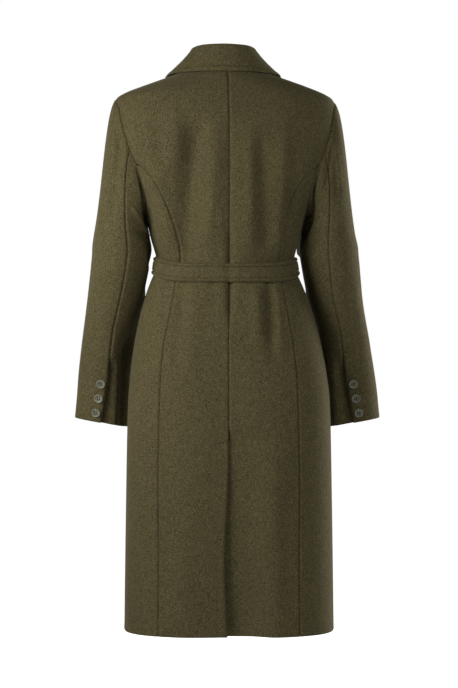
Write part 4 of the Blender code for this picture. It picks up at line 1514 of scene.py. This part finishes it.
def add_lamps():
    for lamp in LAMPS:
        data = bpy.data.lights.new(lamp.name, "AREA")
        data.shape = "RECTANGLE"
        data.size = lamp.width
        data.size_y = lamp.height
        data.energy = lamp.power
        turn = np.radians(lamp.azimuth)
        rise = np.radians(lamp.elevation)
        toward = np.array([np.sin(turn) * np.cos(rise), -np.cos(turn) * np.cos(rise), np.sin(rise)])
        made = add_looking(lamp.name, data, np.array(LAMP_AIM), toward, lamp.distance)
        made.visible_camera = False


def floor_material():
    made, tree, shader = new_material("pale_floor")
    place = plug(tree, tree.nodes.new("ShaderNodeSeparateXYZ"), {"Vector": object_place(tree)})
    glow = plug(tree, tree.nodes.new("ShaderNodeMapRange"), {
        "Value": place["Y"],
        "From Min": GLOW_START,
        "From Max": GLOW_FULL,
        "To Max": FLOOR_GLOW,
    })
    seen = tree.nodes.new("ShaderNodeLightPath").outputs["Is Camera Ray"]
    either = tree.nodes.new("ShaderNodeMath")
    either.operation = "MAXIMUM"
    strength = plug(tree, either, {0: glow["Result"], 1: seen})["Value"]
    plug(tree, shader, {
        "Base Color": FLOOR_COLOUR,
        "Roughness": 1.0,
        "Emission Color": WHITE,
        "Emission Strength": strength,
    })
    return made


def add_floor():
    mesh = bpy.data.meshes.new("floor")
    half = FLOOR_SIZE / 2
    level = -(SIDE_NECK + FLOOR_BELOW_HEM) * MM
    corners = [(-half, -half, level), (half, -half, level), (half, half, level), (-half, half, level)]
    mesh.from_pydata(corners, [], [(0, 1, 2, 3)])
    mesh.materials.append(floor_material())
    made = bpy.data.objects.new("floor", mesh)
    bpy.context.collection.objects.link(made)


def set_world():
    """Weak white light from all round, and a white backdrop to the camera."""
    world = bpy.data.worlds.new("studio")
    bpy.context.scene.world = world
    world.use_nodes = True
    tree = world.node_tree
    fill = plug(tree, tree.nodes["Background"], {"Color": WHITE, "Strength": FILL_LIGHT})
    backdrop = tree.nodes.new("ShaderNodeBackground")
    seen = plug(tree, backdrop, {"Color": WHITE, "Strength": BACKDROP_LIGHT})
    path = tree.nodes.new("ShaderNodeLightPath").outputs["Is Camera Ray"]
    either = tree.nodes.new("ShaderNodeMixShader")
    shading = plug(tree, either, {"Fac": path, 1: fill["Background"], 2: seen["Background"]})
    plug(tree, tree.nodes["World Output"], {"Surface": shading["Shader"]})
    bpy.context.scene.view_settings.view_transform = "Standard"


# The whole scene
for old in [thing for thing in bpy.data.objects if thing.type in {"LIGHT", "CAMERA"}]:
    bpy.data.objects.remove(old, do_unlink=True)
WOOL = wool_material()
THREAD = noisy_material("thread", THREAD_GLOSS, THREAD_NOISE, THREAD_TONES, THREAD_BUMP)
BUTTON = noisy_material("button", BUTTON_GLOSS, BUTTON_NOISE, BUTTON_TONES, BUTTON_BUMP)
add_backs()
add_side_backs()
add_fronts()
add_sleeves()
add_collar()
add_belt()
add_tack()
add_buttons()
add_camera()
add_lamps()
add_floor()
set_world()
